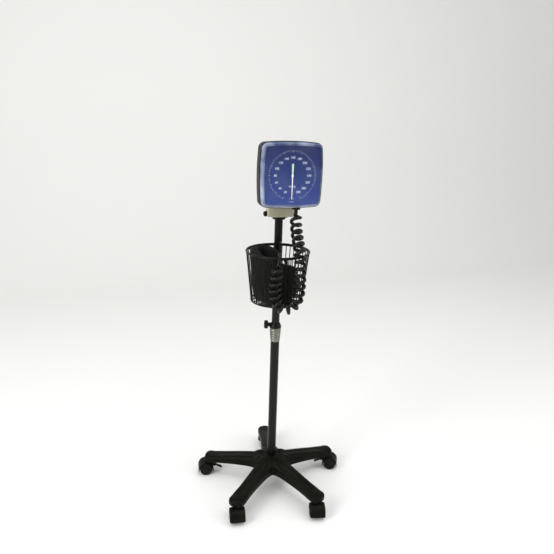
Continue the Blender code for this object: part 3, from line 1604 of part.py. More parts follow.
def build_all():
    """Builds every piece and hangs it on its body's empty."""
    clear_scene()
    black = finish_material("black_plastic", (0.02, 0.02, 0.025), 0.45)
    rubber = finish_material("black_rubber", (0.025, 0.025, 0.03), 0.6)
    wire = finish_material("black_coating", (0.02, 0.022, 0.02), 0.4)
    chrome = finish_material("chromed_steel", (0.75, 0.76, 0.78), 0.15, 1.0)
    steel = finish_material("bright_steel", (0.6, 0.6, 0.62), 0.3, 1.0)
    grey = finish_material("grey_paint", (0.45, 0.44, 0.40), 0.5)
    blue = finish_material("blue_dial", (0.03, 0.11, 0.35), 0.4)
    clear = finish_material("clear_plastic", (0.75, 0.85, 0.95), 0.05, 0.0, 0.3)
    white = finish_material("white_paint", (0.9, 0.92, 0.88), 0.4)
    brass = finish_material("brass", (0.7, 0.5, 0.2), 0.3, 1.0)
    cloth = finish_material("dark_cloth", (0.02, 0.025, 0.04), 0.9)

    root = bpy.data.objects.new("sphygmomanometer", None)
    bpy.context.collection.objects.link(root)
    base_axis = new_axis("base_axis", Matrix.Identity(4), root)
    glide_axis = new_axis("glide_axis", Matrix.Translation((0, 0, UPPER_TUBE_BOTTOM)), root)
    mast_axis = new_axis("mast_axis", Matrix.Translation((0, 0, LOWER_TUBE_TOP)), root)
    tilt = Matrix.Translation((0, -TILT_AXIS_FORWARD, TILT_AXIS_HEIGHT))
    head_axis = new_axis("head_axis", tilt, root)
    nut_axis = new_axis("tilt_nut_axis", tilt, root)
    needle_place = Matrix.Translation((0, -DIAL_FRONT, GAUGE_HEIGHT))
    needle_axis = new_axis("needle_axis", needle_place, root)
    button_place = Matrix.Translation((0, 0, BUTTON_HEIGHT)) @ about_z(BUTTON_SIDE)
    button_axis = new_axis("button_axis", button_place, root)
    valve_axis = new_axis("valve_axis", bulb_place(), root)

    build_base(base_axis, black, steel, black)
    knob_place = build_lower_pole(base_axis, chrome, black)
    knob_axis = new_axis("lock_knob_axis", knob_place, root)
    build_lock_knob(knob_axis, black)
    for leg in range(LEG_COUNT):
        x = STEM_CIRCLE * math.cos(leg_turn(leg))
        y = STEM_CIRCLE * math.sin(leg_turn(leg))
        place = Matrix.Translation((x, y, 0)) @ about_z(caster_turn(leg))
        build_caster(leg + 1, place, base_axis, root, (black, rubber, steel))
    build_mast(mast_axis, glide_axis, chrome, black)
    build_basket(mast_axis, wire, black, steel)
    hose_end, hose_heading = build_hose(mast_axis, rubber)
    build_cuff(mast_axis, cloth, hose_end, hose_heading)
    build_bulb(mast_axis, valve_axis, rubber, steel)
    build_head(mast_axis, head_axis, nut_axis, button_axis, (black, grey, steel))
    build_gauge(head_axis, needle_axis, (black, blue, clear, white, brass, steel))
    bpy.context.view_layer.update()
    centre = footprint_centre(("cuff",))
    root.location = (-centre.x, -centre.y, 0)
    print(f"pole axis at {-centre.x:.6f}, {-centre.y:.6f}")


def caster_turn(leg):
    """The direction in which a caster trails, seen from above, from +X."""
    return CASTER_TURNS[leg]


build_all()
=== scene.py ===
"""The looks of a floor-standing aneroid sphygmomanometer on a five-caster base.

Metres, +Z up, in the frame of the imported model. The gauge faces -Y, and the sections follow the assembly
from the floor up.
"""

import math

import bmesh
import bpy
import numpy as np
from mathutils import Matrix, Vector


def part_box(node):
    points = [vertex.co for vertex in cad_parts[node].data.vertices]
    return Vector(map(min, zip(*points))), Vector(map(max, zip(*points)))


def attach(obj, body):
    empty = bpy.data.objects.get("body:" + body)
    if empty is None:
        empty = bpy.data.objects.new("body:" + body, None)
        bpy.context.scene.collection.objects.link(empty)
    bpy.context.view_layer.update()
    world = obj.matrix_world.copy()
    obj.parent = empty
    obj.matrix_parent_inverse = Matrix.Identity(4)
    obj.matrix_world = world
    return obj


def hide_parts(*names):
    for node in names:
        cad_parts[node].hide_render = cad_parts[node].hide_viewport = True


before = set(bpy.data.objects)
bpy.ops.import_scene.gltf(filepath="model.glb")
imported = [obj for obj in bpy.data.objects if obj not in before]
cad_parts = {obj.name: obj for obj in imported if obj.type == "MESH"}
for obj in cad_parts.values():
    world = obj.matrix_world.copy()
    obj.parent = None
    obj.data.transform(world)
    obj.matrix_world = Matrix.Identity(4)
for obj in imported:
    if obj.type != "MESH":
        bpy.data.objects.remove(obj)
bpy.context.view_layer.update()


# Star base: a single injection moulding of black glass-filled nylon, five arched legs whose sides
# run into each other round the hub, each with a rounded nose over its caster. The tube stands in the
# hub and is drawn down by a bolt from below.
SHARP_FROM = math.radians(38)
WELD = 0.000002


def linear(code):
    """An sRGB hex colour as linear red, green and blue, with an alpha of one."""
    share = np.array([int(code[i : i + 2], 16) for i in (1, 3, 5)]) / 255
    light = np.where(share <= 0.04045, share / 12.92, ((share + 0.055) / 1.055) ** 2.4)
    return (*light.tolist(), 1.0)


def add_node(tree, kind, settings, feeds):
    """Adds a node, sets its properties, and fills its sockets with values or with links."""
    made = tree.nodes.new(kind)
    for name, value in settings.items():
        setattr(made, name, value)
    for name, value in feeds.items():
        if isinstance(value, bpy.types.NodeSocket):
            tree.links.new(value, made.inputs[name])
        else:
            made.inputs[name].default_value = value
    return made


def remap(tree, value, low, high, to_low=0.0, to_high=1.0):
    """A node's output that carries a value from one range to another in a straight line."""
    feeds = {"Value": value, "From Min": low, "From Max": high, "To Min": to_low, "To Max": to_high}
    return add_node(tree, "ShaderNodeMapRange", {}, feeds).outputs["Result"]


def ramped(tree, share, low, high, start=0.0, end=1.0):
    """A node's output that goes from one hex colour to another between two shares."""
    ramp = add_node(tree, "ShaderNodeValToRGB", {}, {"Fac": share})
    for stop, code, position in zip(ramp.color_ramp.elements, (low, high), (start, end)):
        stop.color = linear(code)
        stop.position = position
    return ramp.outputs["Color"]


def paint(tree, colour):
    """Links a colour to a finish's base colour."""
    tree.links.new(colour, tree.nodes["Principled BSDF"].inputs["Base Color"])


def object_place(tree):
    """Where a point lies on its own object, in metres."""
    return add_node(tree, "ShaderNodeTexCoord", {}, {}).outputs["Object"]


def surfaced(name, shade, lit, patch, grain, relief, gloss, sockets, stretch=(1, 1, 1)):
    """A finish whose colour drifts between two shades from patch to patch, under a fine grain.

    The drift and the grain are noise whose scale is one over their size. The grain moves the roughness
    between the two values of gloss, and its height is the relief. Stretch divides the grain's size along
    each axis, which makes brushed lines.
    """
    material = bpy.data.materials.new(name)
    material.use_nodes = True
    tree = material.node_tree
    shader = tree.nodes["Principled BSDF"]
    place = object_place(tree)
    drawn = add_node(tree, "ShaderNodeMapping", {}, {"Vector": place, "Scale": stretch})
    wide = {"Vector": place, "Scale": 1 / patch, "Detail": 3.0}
    fine = {"Vector": drawn.outputs["Vector"], "Scale": 1 / grain, "Detail": 2.0}
    drift = add_node(tree, "ShaderNodeTexNoise", {}, wide)
    speck = add_node(tree, "ShaderNodeTexNoise", {}, fine)
    colour = ramped(tree, drift.outputs["Fac"], shade, lit, 0.35, 0.68)
    spread = remap(tree, speck.outputs["Fac"], 0.3, 0.7, *gloss)
    height = {"Height": speck.outputs["Fac"], "Distance": relief, "Strength": 1.0}
    bump = add_node(tree, "ShaderNodeBump", {}, height)
    paint(tree, colour)
    tree.links.new(spread, shader.inputs["Roughness"])
    tree.links.new(bump.outputs["Normal"], shader.inputs["Normal"])
    for socket, value in sockets.items():
        shader.inputs[socket].default_value = value
    return material


def shown(name, data):
    """A new object of its data, linked to the scene."""
    made = bpy.data.objects.new(name, data)
    bpy.context.collection.objects.link(made)
    return made


def clean(mesh):
    """Welds a mesh's seams, drops what collapses, and turns its faces outwards."""
    form = bmesh.new()
    form.from_mesh(mesh)
    bmesh.ops.remove_doubles(form, verts=form.verts, dist=WELD)
    bmesh.ops.dissolve_degenerate(form, edges=form.edges, dist=WELD / 2)
    bmesh.ops.recalc_face_normals(form, faces=form.faces)
    form.to_mesh(mesh)
    form.free()


def full_turn(steps):
    """Angles in even steps once round."""
    return np.linspace(0, math.tau, steps, endpoint=False)


def round_grid(reach, angle, height):
    """Points at a distance and angle about Z: reach times the cosine and the sine, and the height."""
    across = reach * np.cos(angle)
    return np.stack([across, reach * np.sin(angle), np.broadcast_to(height, across.shape)], axis=-1)


def skin(grid, ring=False, capped=False):
    """Quads over a grid of points whose columns close on themselves.

    A ring's last row meets its first, and a capped one is closed by a flat face at each end.
    """
    index = np.arange(grid.shape[0] * grid.shape[1]).reshape(grid.shape[:2])
    caps = [index[0].tolist(), index[-1].tolist()] if capped else []
    if ring:
        index = np.vstack([index, index[:1]])
    index = np.hstack([index, index[:, :1]])
    quads = np.stack([index[:-1, :-1], index[:-1, 1:], index[1:, 1:], index[1:, :-1]], axis=-1)
    return grid.reshape(-1, 3), quads.reshape(-1, 4), caps


def piece(name, shapes, material, body, *nodes):
    """Joins shapes into one mesh, welds its seams, turns its faces outwards and hangs it on a body."""
    points = np.vstack([shape[0] for shape in shapes])
    starts = np.cumsum([0] + [len(shape[0]) for shape in shapes])
    faces = []
    for (_, quads, caps), start in zip(shapes, starts):
        faces.extend((quads + start).tolist())
        faces.extend([[corner + int(start) for corner in cap] for cap in caps])
    mesh = bpy.data.meshes.new(name)
    mesh.from_pydata(points, [], faces)
    clean(mesh)
    mesh.shade_smooth()
    mesh.set_sharp_from_angle(angle=SHARP_FROM)
    mesh.materials.append(material)
    made = shown(name, mesh)
    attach(made, body)
    if nodes:
        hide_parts(*nodes)
    return made


def placed(shape, matrix):
    """A shape moved by a matrix."""
    turn = np.array(matrix)
    return (shape[0] @ turn[:3, :3].T + turn[:3, 3], *shape[1:])


def moved(x, y, z):
    """A matrix that moves a shape."""
    return Matrix.Translation((x, y, z))


def smooth_step(value):
    """Rises from nought to one with level ends: three times the square less twice the cube."""
    value = np.clip(value, 0, 1)
    return value * value * (3 - 2 * value)


def middle(node):
    """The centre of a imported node's box."""
    low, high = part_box(node)
    return (low + high) / 2


upright = Matrix.Rotation(math.pi / 2, 4, "X")
on_side = Matrix.Rotation(math.pi / 2, 4, "Y")
POLE = moved(middle("lower_tube").x, middle("lower_tube").y, 0)
LEG_TURNS = [math.radians(80.6 + 72 * leg) for leg in range(5)]
LEG_HALF_SPACING = math.radians(36)
LEG_SIDE = 0.0225
LEG_FILLET = 0.013
LEG_TAPER = 0.0025
LEG_BOOT = 0.0020
STEM_CIRCLE = 0.195
LEG_NOSE = 0.017
HUB_TOP = 0.098
HUB_FOOT = 0.054
LEG_TOP_ROOT = 0.0885
LEG_TOP_TIP = 0.0680
LEG_FOOT = 0.0555
LEG_FOOT_FALL = 0.0080
LEG_CROWN = 0.010
TAPER_FROM = 0.045
TAPER_RUN = 0.09
BOOT_FROM = 0.150
BOOT_RUN = 0.035
FALL_FROM = 0.022
FALL_RUN = 0.150
HUB_TOP_SPREAD = 0.020
HUB_FOOT_SPREAD = 0.024


def star_half():
    """One side of a leg in plan, from the valley between legs to the tip of the nose.

    The side is a hyperbola: its arms run along this leg's side and the next one's, so the valley is a
    smooth fillet. The nose is a superellipse.
    """
    u_0 = LEG_SIDE / math.sin(LEG_HALF_SPACING)
    b = LEG_FILLET * math.tan(LEG_HALF_SPACING)
    span = (STEM_CIRCLE - u_0 * math.cos(LEG_HALF_SPACING)) * math.cos(LEG_HALF_SPACING) / LEG_FILLET
    s = span * np.linspace(0, 1, 34) ** 1.6
    u = u_0 + LEG_FILLET * np.sqrt(1 + s * s)
    v = -b * s
    x = u * math.cos(LEG_HALF_SPACING) - v * math.sin(LEG_HALF_SPACING)
    y = u * math.sin(LEG_HALF_SPACING) + v * math.cos(LEG_HALF_SPACING)
    y = y - LEG_TAPER * smooth_step((x - TAPER_FROM) / TAPER_RUN)
    y = y + LEG_BOOT * smooth_step((x - BOOT_FROM) / BOOT_RUN)
    a = np.linspace(0, math.pi / 2, 13)[1:]
    nose_x = x[-1] + LEG_NOSE * np.sin(a) ** (2 / 2.5)
    nose_y = y[-1] * np.maximum(np.cos(a), 0) ** (2 / 2.5)
    return np.append(x, nose_x), np.append(y, nose_y)


def star_shape():
    """The star: every point of the outline is joined to its leg's spine by an arched section.

    Along a section the plan share is the sine and the height share the cosine of one angle, both to a
    power under one, which gives a flat top, a full round edge, an upright side and a flat foot.
    """
    x, y = star_half()
    reach = np.concatenate([x, x[-2:0:-1]])
    across = np.concatenate([-y, y[-2:0:-1]])
    spine = (reach - x[0]) / (x[-1] - x[0]) * (STEM_CIRCLE + LEG_NOSE / 3)
    fall = np.clip((spine - FALL_FROM) / FALL_RUN, 0, 1) ** 1.35
    ridge = LEG_TOP_ROOT + (LEG_TOP_TIP - LEG_TOP_ROOT) * fall
    ridge = ridge + (HUB_TOP - LEG_TOP_ROOT) * np.exp(-((spine / HUB_TOP_SPREAD) ** 4))
    foot = LEG_FOOT - LEG_FOOT_FALL * fall
    foot = foot + (HUB_FOOT - LEG_FOOT) * np.exp(-((spine / HUB_FOOT_SPREAD) ** 4))
    edge = np.minimum(ridge - LEG_CROWN, (ridge + foot) / 2)
    a = np.linspace(0, math.pi / 2, 14)
    out = np.concatenate([np.sin(a) ** 0.8, [1.0, 0.985, 0.955, 0.90, 0.0]])[:, None]
    high = np.maximum(np.cos(a), 0)[:, None] ** 0.8
    top = edge + (ridge - edge) * high
    side = edge + (foot - edge) * np.array([0.5, 0.93, 0.985, 1.0, 1.0])[:, None]
    heights = np.vstack([top, side])
    plan_x = spine + (reach - spine) * out
    plan_y = across * out
    legs = []
    for turn in LEG_TURNS:
        c, n = math.cos(turn), math.sin(turn)
        legs.append(np.stack([plan_x * c - plan_y * n, plan_x * n + plan_y * c, heights], axis=-1))
    return placed(skin(np.concatenate(legs, axis=1)), POLE)


# Glass-filled nylon, spark-eroded mould: olive-black and half matt, with a fine grain in the highlights
nylon = surfaced(
    "black glass-filled nylon", "#0a0b06", "#13140d", 0.060, 0.0009, 0.00006, (0.34, 0.52),
    {"Specular IOR Level": 0.06, "IOR": 1.53},
)
piece("star_moulding", [star_shape()], nylon, "base", "star_base")

# Zinc-plated steel, turned: a cool grey mirror broken by lathe marks, for bolts, stems, axles and screws
zinc = surfaced(
    "zinc-plated steel", "#8d9092", "#b4b7b8", 0.010, 0.0012, 0.00002, (0.22, 0.36),
    {"Metallic": 1.0},
)


def keep(material, *nodes):
    """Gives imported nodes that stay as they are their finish."""
    for name in nodes:
        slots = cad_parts[name].data.materials
        for i in range(len(slots)):
            slots[i] = material


keep(zinc, "base_bolt", *[f"caster_{number}_stem" for number in range(1, 6)])
keep(nylon, "tube_plug", "glide_bush")


# Casters: five twin-wheel casters of 40 mm, each a nylon hood with a web between its wheels and a neck
# round the zinc stem. The wheels have a softer tread over a dished hub, and run on a pressed axle.
HOOD_INNER = 0.0213
HOOD_OUTER = 0.0238
HOOD_HALF = 0.0210
WEB_HALF = 0.0035
HOOD_EDGE = 0.0035
HOOD_DROOP = math.radians(14)
NECK_TOP = 0.0470
NECK_RADIUS = 0.0100
NECK_SHOULDER = 0.0030
HOOD_ROUND = 0.0016
NECK_ROUND = 0.0014
WHEEL_RADIUS = 0.0196
WHEEL_GAP = 0.0005
WHEEL_WIDTH = 0.0170
WHEEL_EDGE = 0.0030
TREAD_CROWN = 0.0004
TREAD_INNER_EDGE = 0.0022
TREAD_OUTER_CROWN = 0.0006
TYRE_ROUND = 0.0034
TYRE_WALL = 0.0060
DISH_EDGE = 0.0072
DISH_DEPTH = 0.0026
CAP_FOOT_RADIUS = 0.0070
CAP_FOOT_DEPTH = 0.0034
CAP_RADIUS = 0.0060
CAP_DEPTH = 0.0012
CAP_CROWN_DEPTH = 0.0008
WHEEL_ROUND = 0.0012
AXLE_BOSS = 0.0060


def squared(wave, power):
    """A wave with flatter crests: its size to a power under one, with its own sign."""
    return np.sign(wave) * np.abs(wave) ** power


def eased(corners, radius, steps=4):
    """A profile with its inner corners rounded by quadratic curves between points on its sides."""
    corners = np.array(corners, dtype=float)
    before = np.vstack([corners[:1], corners[:-1]]) - corners
    after = np.vstack([corners[1:], corners[-1:]]) - corners
    before_length = np.linalg.norm(before, axis=1)
    after_length = np.linalg.norm(after, axis=1)
    reach = np.minimum(radius, np.minimum(before_length, after_length) * 0.49)[:, None]
    first = corners + before / np.maximum(before_length, WELD)[:, None] * reach
    last = corners + after / np.maximum(after_length, WELD)[:, None] * reach
    t = np.linspace(0, 1, steps + 1)[None, :, None]
    curve = first[:, None] * (1 - t) ** 2 + corners[:, None] * 2 * t * (1 - t) + last[:, None] * t**2
    return curve.reshape(-1, 2)


def turned(profile, steps=56, ring=False):
    """A (radius, height) profile turned about Z, closed at its poles, or into a ring."""
    profile = np.array(profile, dtype=float)
    angle = full_turn(steps)
    return skin(round_grid(profile[:, :1], angle, profile[:, 1:]), ring=ring)


def drum(radius, foot, top):
    """The profile of a plain drum about Z."""
    return [(0, foot), (radius, foot), (radius, top), (0, top)]


def sleeve(bore, radius, foot, top):
    """The closed profile of a plain sleeve about Z."""
    return [(bore, foot), (radius, foot), (radius, top), (bore, top), (bore, foot)]


def hood_shape(trail, axle_height):
    """The hood: one cross-section, arch over web, swept about the axle, with a face at each end."""
    loop = eased(
        [
            (0, 0), (WEB_HALF, 0), (WEB_HALF, HOOD_INNER), (HOOD_HALF, HOOD_INNER),
            (HOOD_HALF, HOOD_OUTER - HOOD_EDGE / 3), (HOOD_HALF - HOOD_EDGE, HOOD_OUTER),
            (-HOOD_HALF + HOOD_EDGE, HOOD_OUTER), (-HOOD_HALF, HOOD_OUTER - HOOD_EDGE / 3),
            (-HOOD_HALF, HOOD_INNER), (-WEB_HALF, HOOD_INNER), (-WEB_HALF, 0), (0, 0),
        ],
        HOOD_ROUND,
    )
    angle = np.linspace(-HOOD_DROOP, math.pi + HOOD_DROOP, 40)[:, None]
    x = trail + loop[:, 1] * np.cos(angle)
    z = axle_height + loop[:, 1] * np.sin(angle)
    y = np.broadcast_to(loop[:, 0], x.shape)
    return skin(np.stack([x, y, z], axis=-1), capped=True)


def caster_place(number):
    """A caster's frame under its stem, heading for its axle, with the trail and the axle's height."""
    stem = middle(f"caster_{number}_stem")
    axle = middle(f"caster_{number}_axle")
    heading = Matrix.Rotation(math.atan2(axle.y - stem.y, axle.x - stem.x), 4, "Z")
    trail = math.hypot(axle.x - stem.x, axle.y - stem.y)
    return moved(stem.x, stem.y, 0) @ heading, trail, axle.z


def wheel_profile():
    """Half of a twin wheel: a crowned tread, a rounded shoulder and a dished hub with a raised cap."""
    r = WHEEL_RADIUS
    w = WHEEL_WIDTH
    return eased(
        [
            (0, 0), (r - WHEEL_EDGE, 0), (r - TREAD_CROWN, TREAD_INNER_EDGE), (r, w / 2),
            (r - TREAD_OUTER_CROWN, w - WHEEL_EDGE), (r - TYRE_ROUND, w), (r - TYRE_WALL, w),
            (r - DISH_EDGE, w - DISH_DEPTH), (CAP_FOOT_RADIUS, w - CAP_FOOT_DEPTH),
            (CAP_RADIUS, w - CAP_DEPTH), (0, w - CAP_CROWN_DEPTH),
        ],
        WHEEL_ROUND,
    )


# Thermoplastic rubber tread on nylon: a shade greyer than the hood, dull, with scuffs
tread = surfaced(
    "thermoplastic rubber", "#131410", "#20211c", 0.012, 0.0007, 0.00008, (0.55, 0.75),
    {"Specular IOR Level": 0.10},
)

for number in range(1, 6):
    stand, trail, axle_height = caster_place(number)
    neck = turned(
        eased(
            [
                (0, axle_height + HOOD_INNER / 3),
                (NECK_RADIUS * 1.35, axle_height + HOOD_INNER / 3),
                (NECK_RADIUS * 1.25, NECK_TOP - 2 * NECK_SHOULDER),
                (NECK_RADIUS, NECK_TOP - NECK_SHOULDER), (NECK_RADIUS, NECK_TOP), (0, NECK_TOP),
            ],
            NECK_ROUND,
        )
    )
    across = moved(trail, 0, axle_height) @ upright
    boss = turned(drum(AXLE_BOSS, -WEB_HALF, WEB_HALF), 32)
    shapes = [hood_shape(trail, axle_height), neck, placed(boss, across)]
    shapes = [placed(shape, stand) for shape in shapes]
    piece(f"caster_{number}_hood", shapes, nylon, f"caster_{number}", f"caster_{number}_fork")
    for side, label in ((-1, "left"), (1, "right")):
        hub_at = moved(trail, side * (WEB_HALF + WHEEL_GAP), axle_height)
        outward = hub_at @ Matrix.Rotation(-side * math.pi / 2, 4, "X")
        wheel = placed(turned(wheel_profile(), 64), stand @ outward)
        old = f"caster_{number}_wheel_{label}"
        piece(f"caster_{number}_tyre_{label}", [wheel], tread, f"wheels_{number}", old)
keep(zinc, *[f"caster_{number}_axle" for number in range(1, 6)])


# Brake pedals: nylon levers on two of the casters, pressed down, each on its own trunnions. The tread
# of a pedal has three ribs for the shoe.
PEDAL_PIVOT_FORWARD = 0.0118
PEDAL_PIVOT_HEIGHT = 0.027
PEDAL_DROP = math.radians(28)
PEDAL_REACH = 0.027
PEDAL_HALF = 0.0054
PEDAL_THICKNESS = 0.0032
PEDAL_RIB = 0.0006
PEDAL_EYE = drum(0.0038, -0.0060, 0.0060)
PEDAL_EYE_ROUND = 0.0006
PEDAL_PIN = drum(0.0018, -0.0095, 0.0095)


def lever_shape():
    """The lever: a rounded section whose width closes at the end in a superellipse, with ribbed top."""
    s = np.linspace(0, 1, 40)[:, None]
    angle = full_turn(28)
    close = np.maximum(1 - s**7, 0) ** (1 / 7)
    across = squared(np.cos(angle), 0.35)
    through = squared(np.sin(angle), 0.6)
    rib = PEDAL_RIB * np.maximum(np.sin(s * math.tau * 6.5), 0) * (s > 0.5) * (through > 0)
    x = np.broadcast_to(-PEDAL_REACH * s, (40, 28))
    y = PEDAL_HALF * across * close
    z = (PEDAL_THICKNESS / 2 * (0.3 + 0.7 * close)) * through + rib
    return skin(np.stack([x, y, z], axis=-1), capped=True)


for number in (2, 5):
    pivot = caster_place(number)[0]
    pivot = pivot @ moved(-PEDAL_PIVOT_FORWARD, 0, PEDAL_PIVOT_HEIGHT)
    eye = eased(PEDAL_EYE, PEDAL_EYE_ROUND)
    shapes = [
        placed(lever_shape(), pivot @ Matrix.Rotation(-PEDAL_DROP, 4, "Y")),
        placed(turned(eye, 32), pivot @ upright),
        placed(turned(PEDAL_PIN, 24), pivot @ upright),
    ]
    piece(f"caster_{number}_lever", shapes, nylon, f"pedal_{number}", f"caster_{number}_pedal")


# Pole: a lower steel tube of 25.4 mm and an upper one of 22.2 mm that slides in it, both drawn, then
# enamelled gloss black. The edge of each open end is rolled in a little.
LOWER_RADIUS = 0.0127
LOWER_BORE = 0.0117
UPPER_RADIUS = 0.0111
UPPER_BORE = 0.0099
LOWER_FOOT = 0.0683
LOWER_TOP = 0.508
UPPER_FOOT = 0.160
UPPER_TOP = 0.8497

# Baked enamel on drawn steel: almost black, with a narrow wet highlight under a thin clear coat
enamel = surfaced(
    "gloss black enamel", "#0b0c09", "#131410", 0.080, 0.0040, 0.00002, (0.16, 0.24),
    {"Coat Weight": 0.08, "Coat Roughness": 0.08, "Specular IOR Level": 0.16},
)


def tube_ring(bore, radius, foot, top):
    """A tube's wall, with both ends eased."""
    ease = (radius - bore) / 3
    profile = [
        (bore, foot + ease), (bore + ease, foot), (radius - ease, foot), (radius, foot + ease),
        (radius, top - ease), (radius - ease, top), (bore + ease, top), (bore, top - ease),
    ]
    return placed(turned(profile, 72, ring=True), POLE)


lower = tube_ring(LOWER_BORE, LOWER_RADIUS, LOWER_FOOT, LOWER_TOP)
upper = tube_ring(UPPER_BORE, UPPER_RADIUS, UPPER_FOOT, UPPER_TOP)
piece("lower_pole", [lower], enamel, "base", "lower_tube")
piece("upper_pole", [upper], enamel, "mast", "upper_tube")


# Height lock: a satin aluminium collar pressed on the lower tube, grooved round, and above it a black
# conical bush that a fluted knob squeezes on the upper tube through its stud.
COLLAR_RADIUS = 0.0165
COLLAR_BOTTOM = 0.474
COLLAR_TOP = 0.516
COLLAR_TAPER = 0.0032
COLLAR_EDGE = 0.0012
COLLAR_FIT = 0.0001
COLLAR_SHOULDER = 0.5083
COLLAR_GROOVE = 0.0011
MAST_CLEARANCE_RADIUS = 0.0116
BUSH_NECK_RADIUS = 0.0140
BUSH_TOP_RADIUS = 0.0132
BUSH_STEP = 0.0030
BUSH_ROUND = 0.0008
BUSH_FOOT = 0.5163
BUSH_TOP = 0.5293
LOCK_SIDE = math.radians(163)
KNOB_SEAT = 0.0213
KNOB_RADIUS = 0.0125
KNOB_HEIGHT = 0.0115
KNOB_LOBES = 6
KNOB_LOBE = 0.0011
KNOB_FOOT = 0.0114
KNOB_STUD = 0.0030
KNOB_EDGE = 0.0016
KNOB_SHOULDER = 0.0022
KNOB_FACE_INSET = 0.0060
KNOB_DISH = 0.0006
KNOB_ROUND = 0.0012
LOBES_FROM = 0.006
LOBES_RUN = 0.005
LOCK_BOSS = [(0.0034, 0.0122), (0.0034, 0.0210), (0.0060, 0.0210), (0.0060, 0.0122), (0.0034, 0.0122)]
LOCK_BOSS_ROUND = 0.0006

# Aluminium, turned and satin: pale warm grey, its fine rings stretch the highlight
aluminium = surfaced(
    "satin aluminium", "#70726a", "#8a8c80", 0.015, 0.0015, 0.00004, (0.26, 0.40),
    {"Metallic": 1.0}, (0.1, 0.1, 3.0),
)
# Acetal, moulded: a little smoother and blacker than the nylon, for the knobs and the lock
acetal = surfaced(
    "black acetal", "#0d0e0a", "#161712", 0.030, 0.0012, 0.00004, (0.28, 0.42),
    {"Specular IOR Level": 0.16, "IOR": 1.48},
)


def collar_profile():
    """The collar: a cone that narrows downwards, with four round grooves."""
    z = np.linspace(COLLAR_TOP - COLLAR_EDGE, COLLAR_BOTTOM + COLLAR_EDGE, 90)
    share = (COLLAR_TOP - z) / (COLLAR_TOP - COLLAR_BOTTOM)
    groove = COLLAR_GROOVE * np.exp(-(((share * 5.2) % 1.0 - 0.5) / 0.13) ** 2)
    r = COLLAR_RADIUS - COLLAR_TAPER * share**1.3 - groove
    outer = np.stack([r, z], axis=1)
    seat = LOWER_RADIUS + COLLAR_FIT
    bore = MAST_CLEARANCE_RADIUS
    inner = [(seat, COLLAR_BOTTOM), (seat, COLLAR_SHOULDER), (bore, COLLAR_SHOULDER)]
    return np.vstack([outer, inner, [(bore, COLLAR_TOP), (r[0] - COLLAR_EDGE, COLLAR_TOP)]])


collar = placed(turned(collar_profile(), 72, ring=True), POLE)
piece("collar", [collar], aluminium, "base", "clamp_collar")

bush = eased(
    [
        (MAST_CLEARANCE_RADIUS, BUSH_FOOT), (COLLAR_RADIUS, BUSH_FOOT),
        (COLLAR_RADIUS, BUSH_FOOT + BUSH_STEP), (BUSH_NECK_RADIUS, BUSH_TOP - BUSH_STEP),
        (BUSH_TOP_RADIUS, BUSH_TOP), (MAST_CLEARANCE_RADIUS, BUSH_TOP),
        (MAST_CLEARANCE_RADIUS, BUSH_FOOT),
    ],
    BUSH_ROUND,
)
lock_height = (BUSH_FOOT + BUSH_TOP) / 2
lock_side = POLE @ moved(0, 0, lock_height) @ Matrix.Rotation(LOCK_SIDE, 4, "Z")
outwards = lock_side @ on_side
boss = eased(LOCK_BOSS, LOCK_BOSS_ROUND)
piece(
    "lock_bush",
    [placed(turned(bush, 72), POLE), placed(turned(boss, 40), outwards)],
    acetal,
    "base",
    "lock_ring",
)


def knob_shape():
    """The knob: six lobes, a cosine of six times the angle added to the radius of a rounded drum."""
    face = KNOB_SEAT + KNOB_HEIGHT
    profile = eased(
        [
            (0, KNOB_FOOT), (KNOB_STUD, KNOB_FOOT), (KNOB_STUD, KNOB_SEAT),
            (KNOB_RADIUS - KNOB_EDGE, KNOB_SEAT), (KNOB_RADIUS, KNOB_SEAT + KNOB_EDGE),
            (KNOB_RADIUS, face - KNOB_SHOULDER), (KNOB_RADIUS - KNOB_FACE_INSET / 2, face),
            (KNOB_RADIUS - KNOB_FACE_INSET, face), (0, face - KNOB_DISH),
        ],
        KNOB_ROUND,
    )
    angle = full_turn(96)
    out = smooth_step((profile[:, :1] - LOBES_FROM) / LOBES_RUN)
    reach = profile[:, :1] + KNOB_LOBE / 2 * (np.cos(KNOB_LOBES * angle) - 1) * out
    return skin(round_grid(reach, angle, profile[:, 1:]))


piece("fluted_knob", [placed(knob_shape(), outwards)], acetal, "lock_knob_body", "lock_knob")


# Basket: black powder-coated wire, welded: forty-four uprights between a rim and a foot ring, and a
# floor of spokes and hoops. It narrows downwards, and its floor has an eye that the pole passes through.
BASKET_TURN = math.radians(-17)
BASKET_OFFSET = 0.056
BASKET_TOP = 0.757
BASKET_BOTTOM = 0.617
BASKET_TOP_RADIUS = 0.086
BASKET_BOTTOM_RADIUS = 0.071
BASKET_WIRES = 44
WIRE = 0.0013
RIM_WIRE = 0.0026
FOOT_WIRE = 0.0022
LOWER_HOOP_INSET = 0.0012
LOWER_HOOP_DROP = 0.0062
FLOOR_EYE = [(0.0114, 0.617), (0.0154, 0.617), (0.0154, 0.625), (0.0114, 0.625)]
CLAMP_RING = sleeve(0.0114, 0.0164, 0.6007, 0.6167)
CLAMP_ROUND = 0.0010
FLOOR_SPOKES = 8
FLOOR_HOOP_SHARES = (0.90, 0.80, 0.70, 0.60, 0.50, 0.40)
BASKET_FRAME = POLE @ Matrix.Rotation(BASKET_TURN, 4, "Z")
BASKET_CENTRE = BASKET_FRAME @ moved(0, -BASKET_OFFSET, 0)

# Powder coat on wire: black with an olive cast, an orange-peel surface that dulls the highlight
powder_coat = surfaced(
    "black powder coat", "#0c0d08", "#16170f", 0.020, 0.0016, 0.00006, (0.32, 0.46),
    {"Specular IOR Level": 0.15},
)


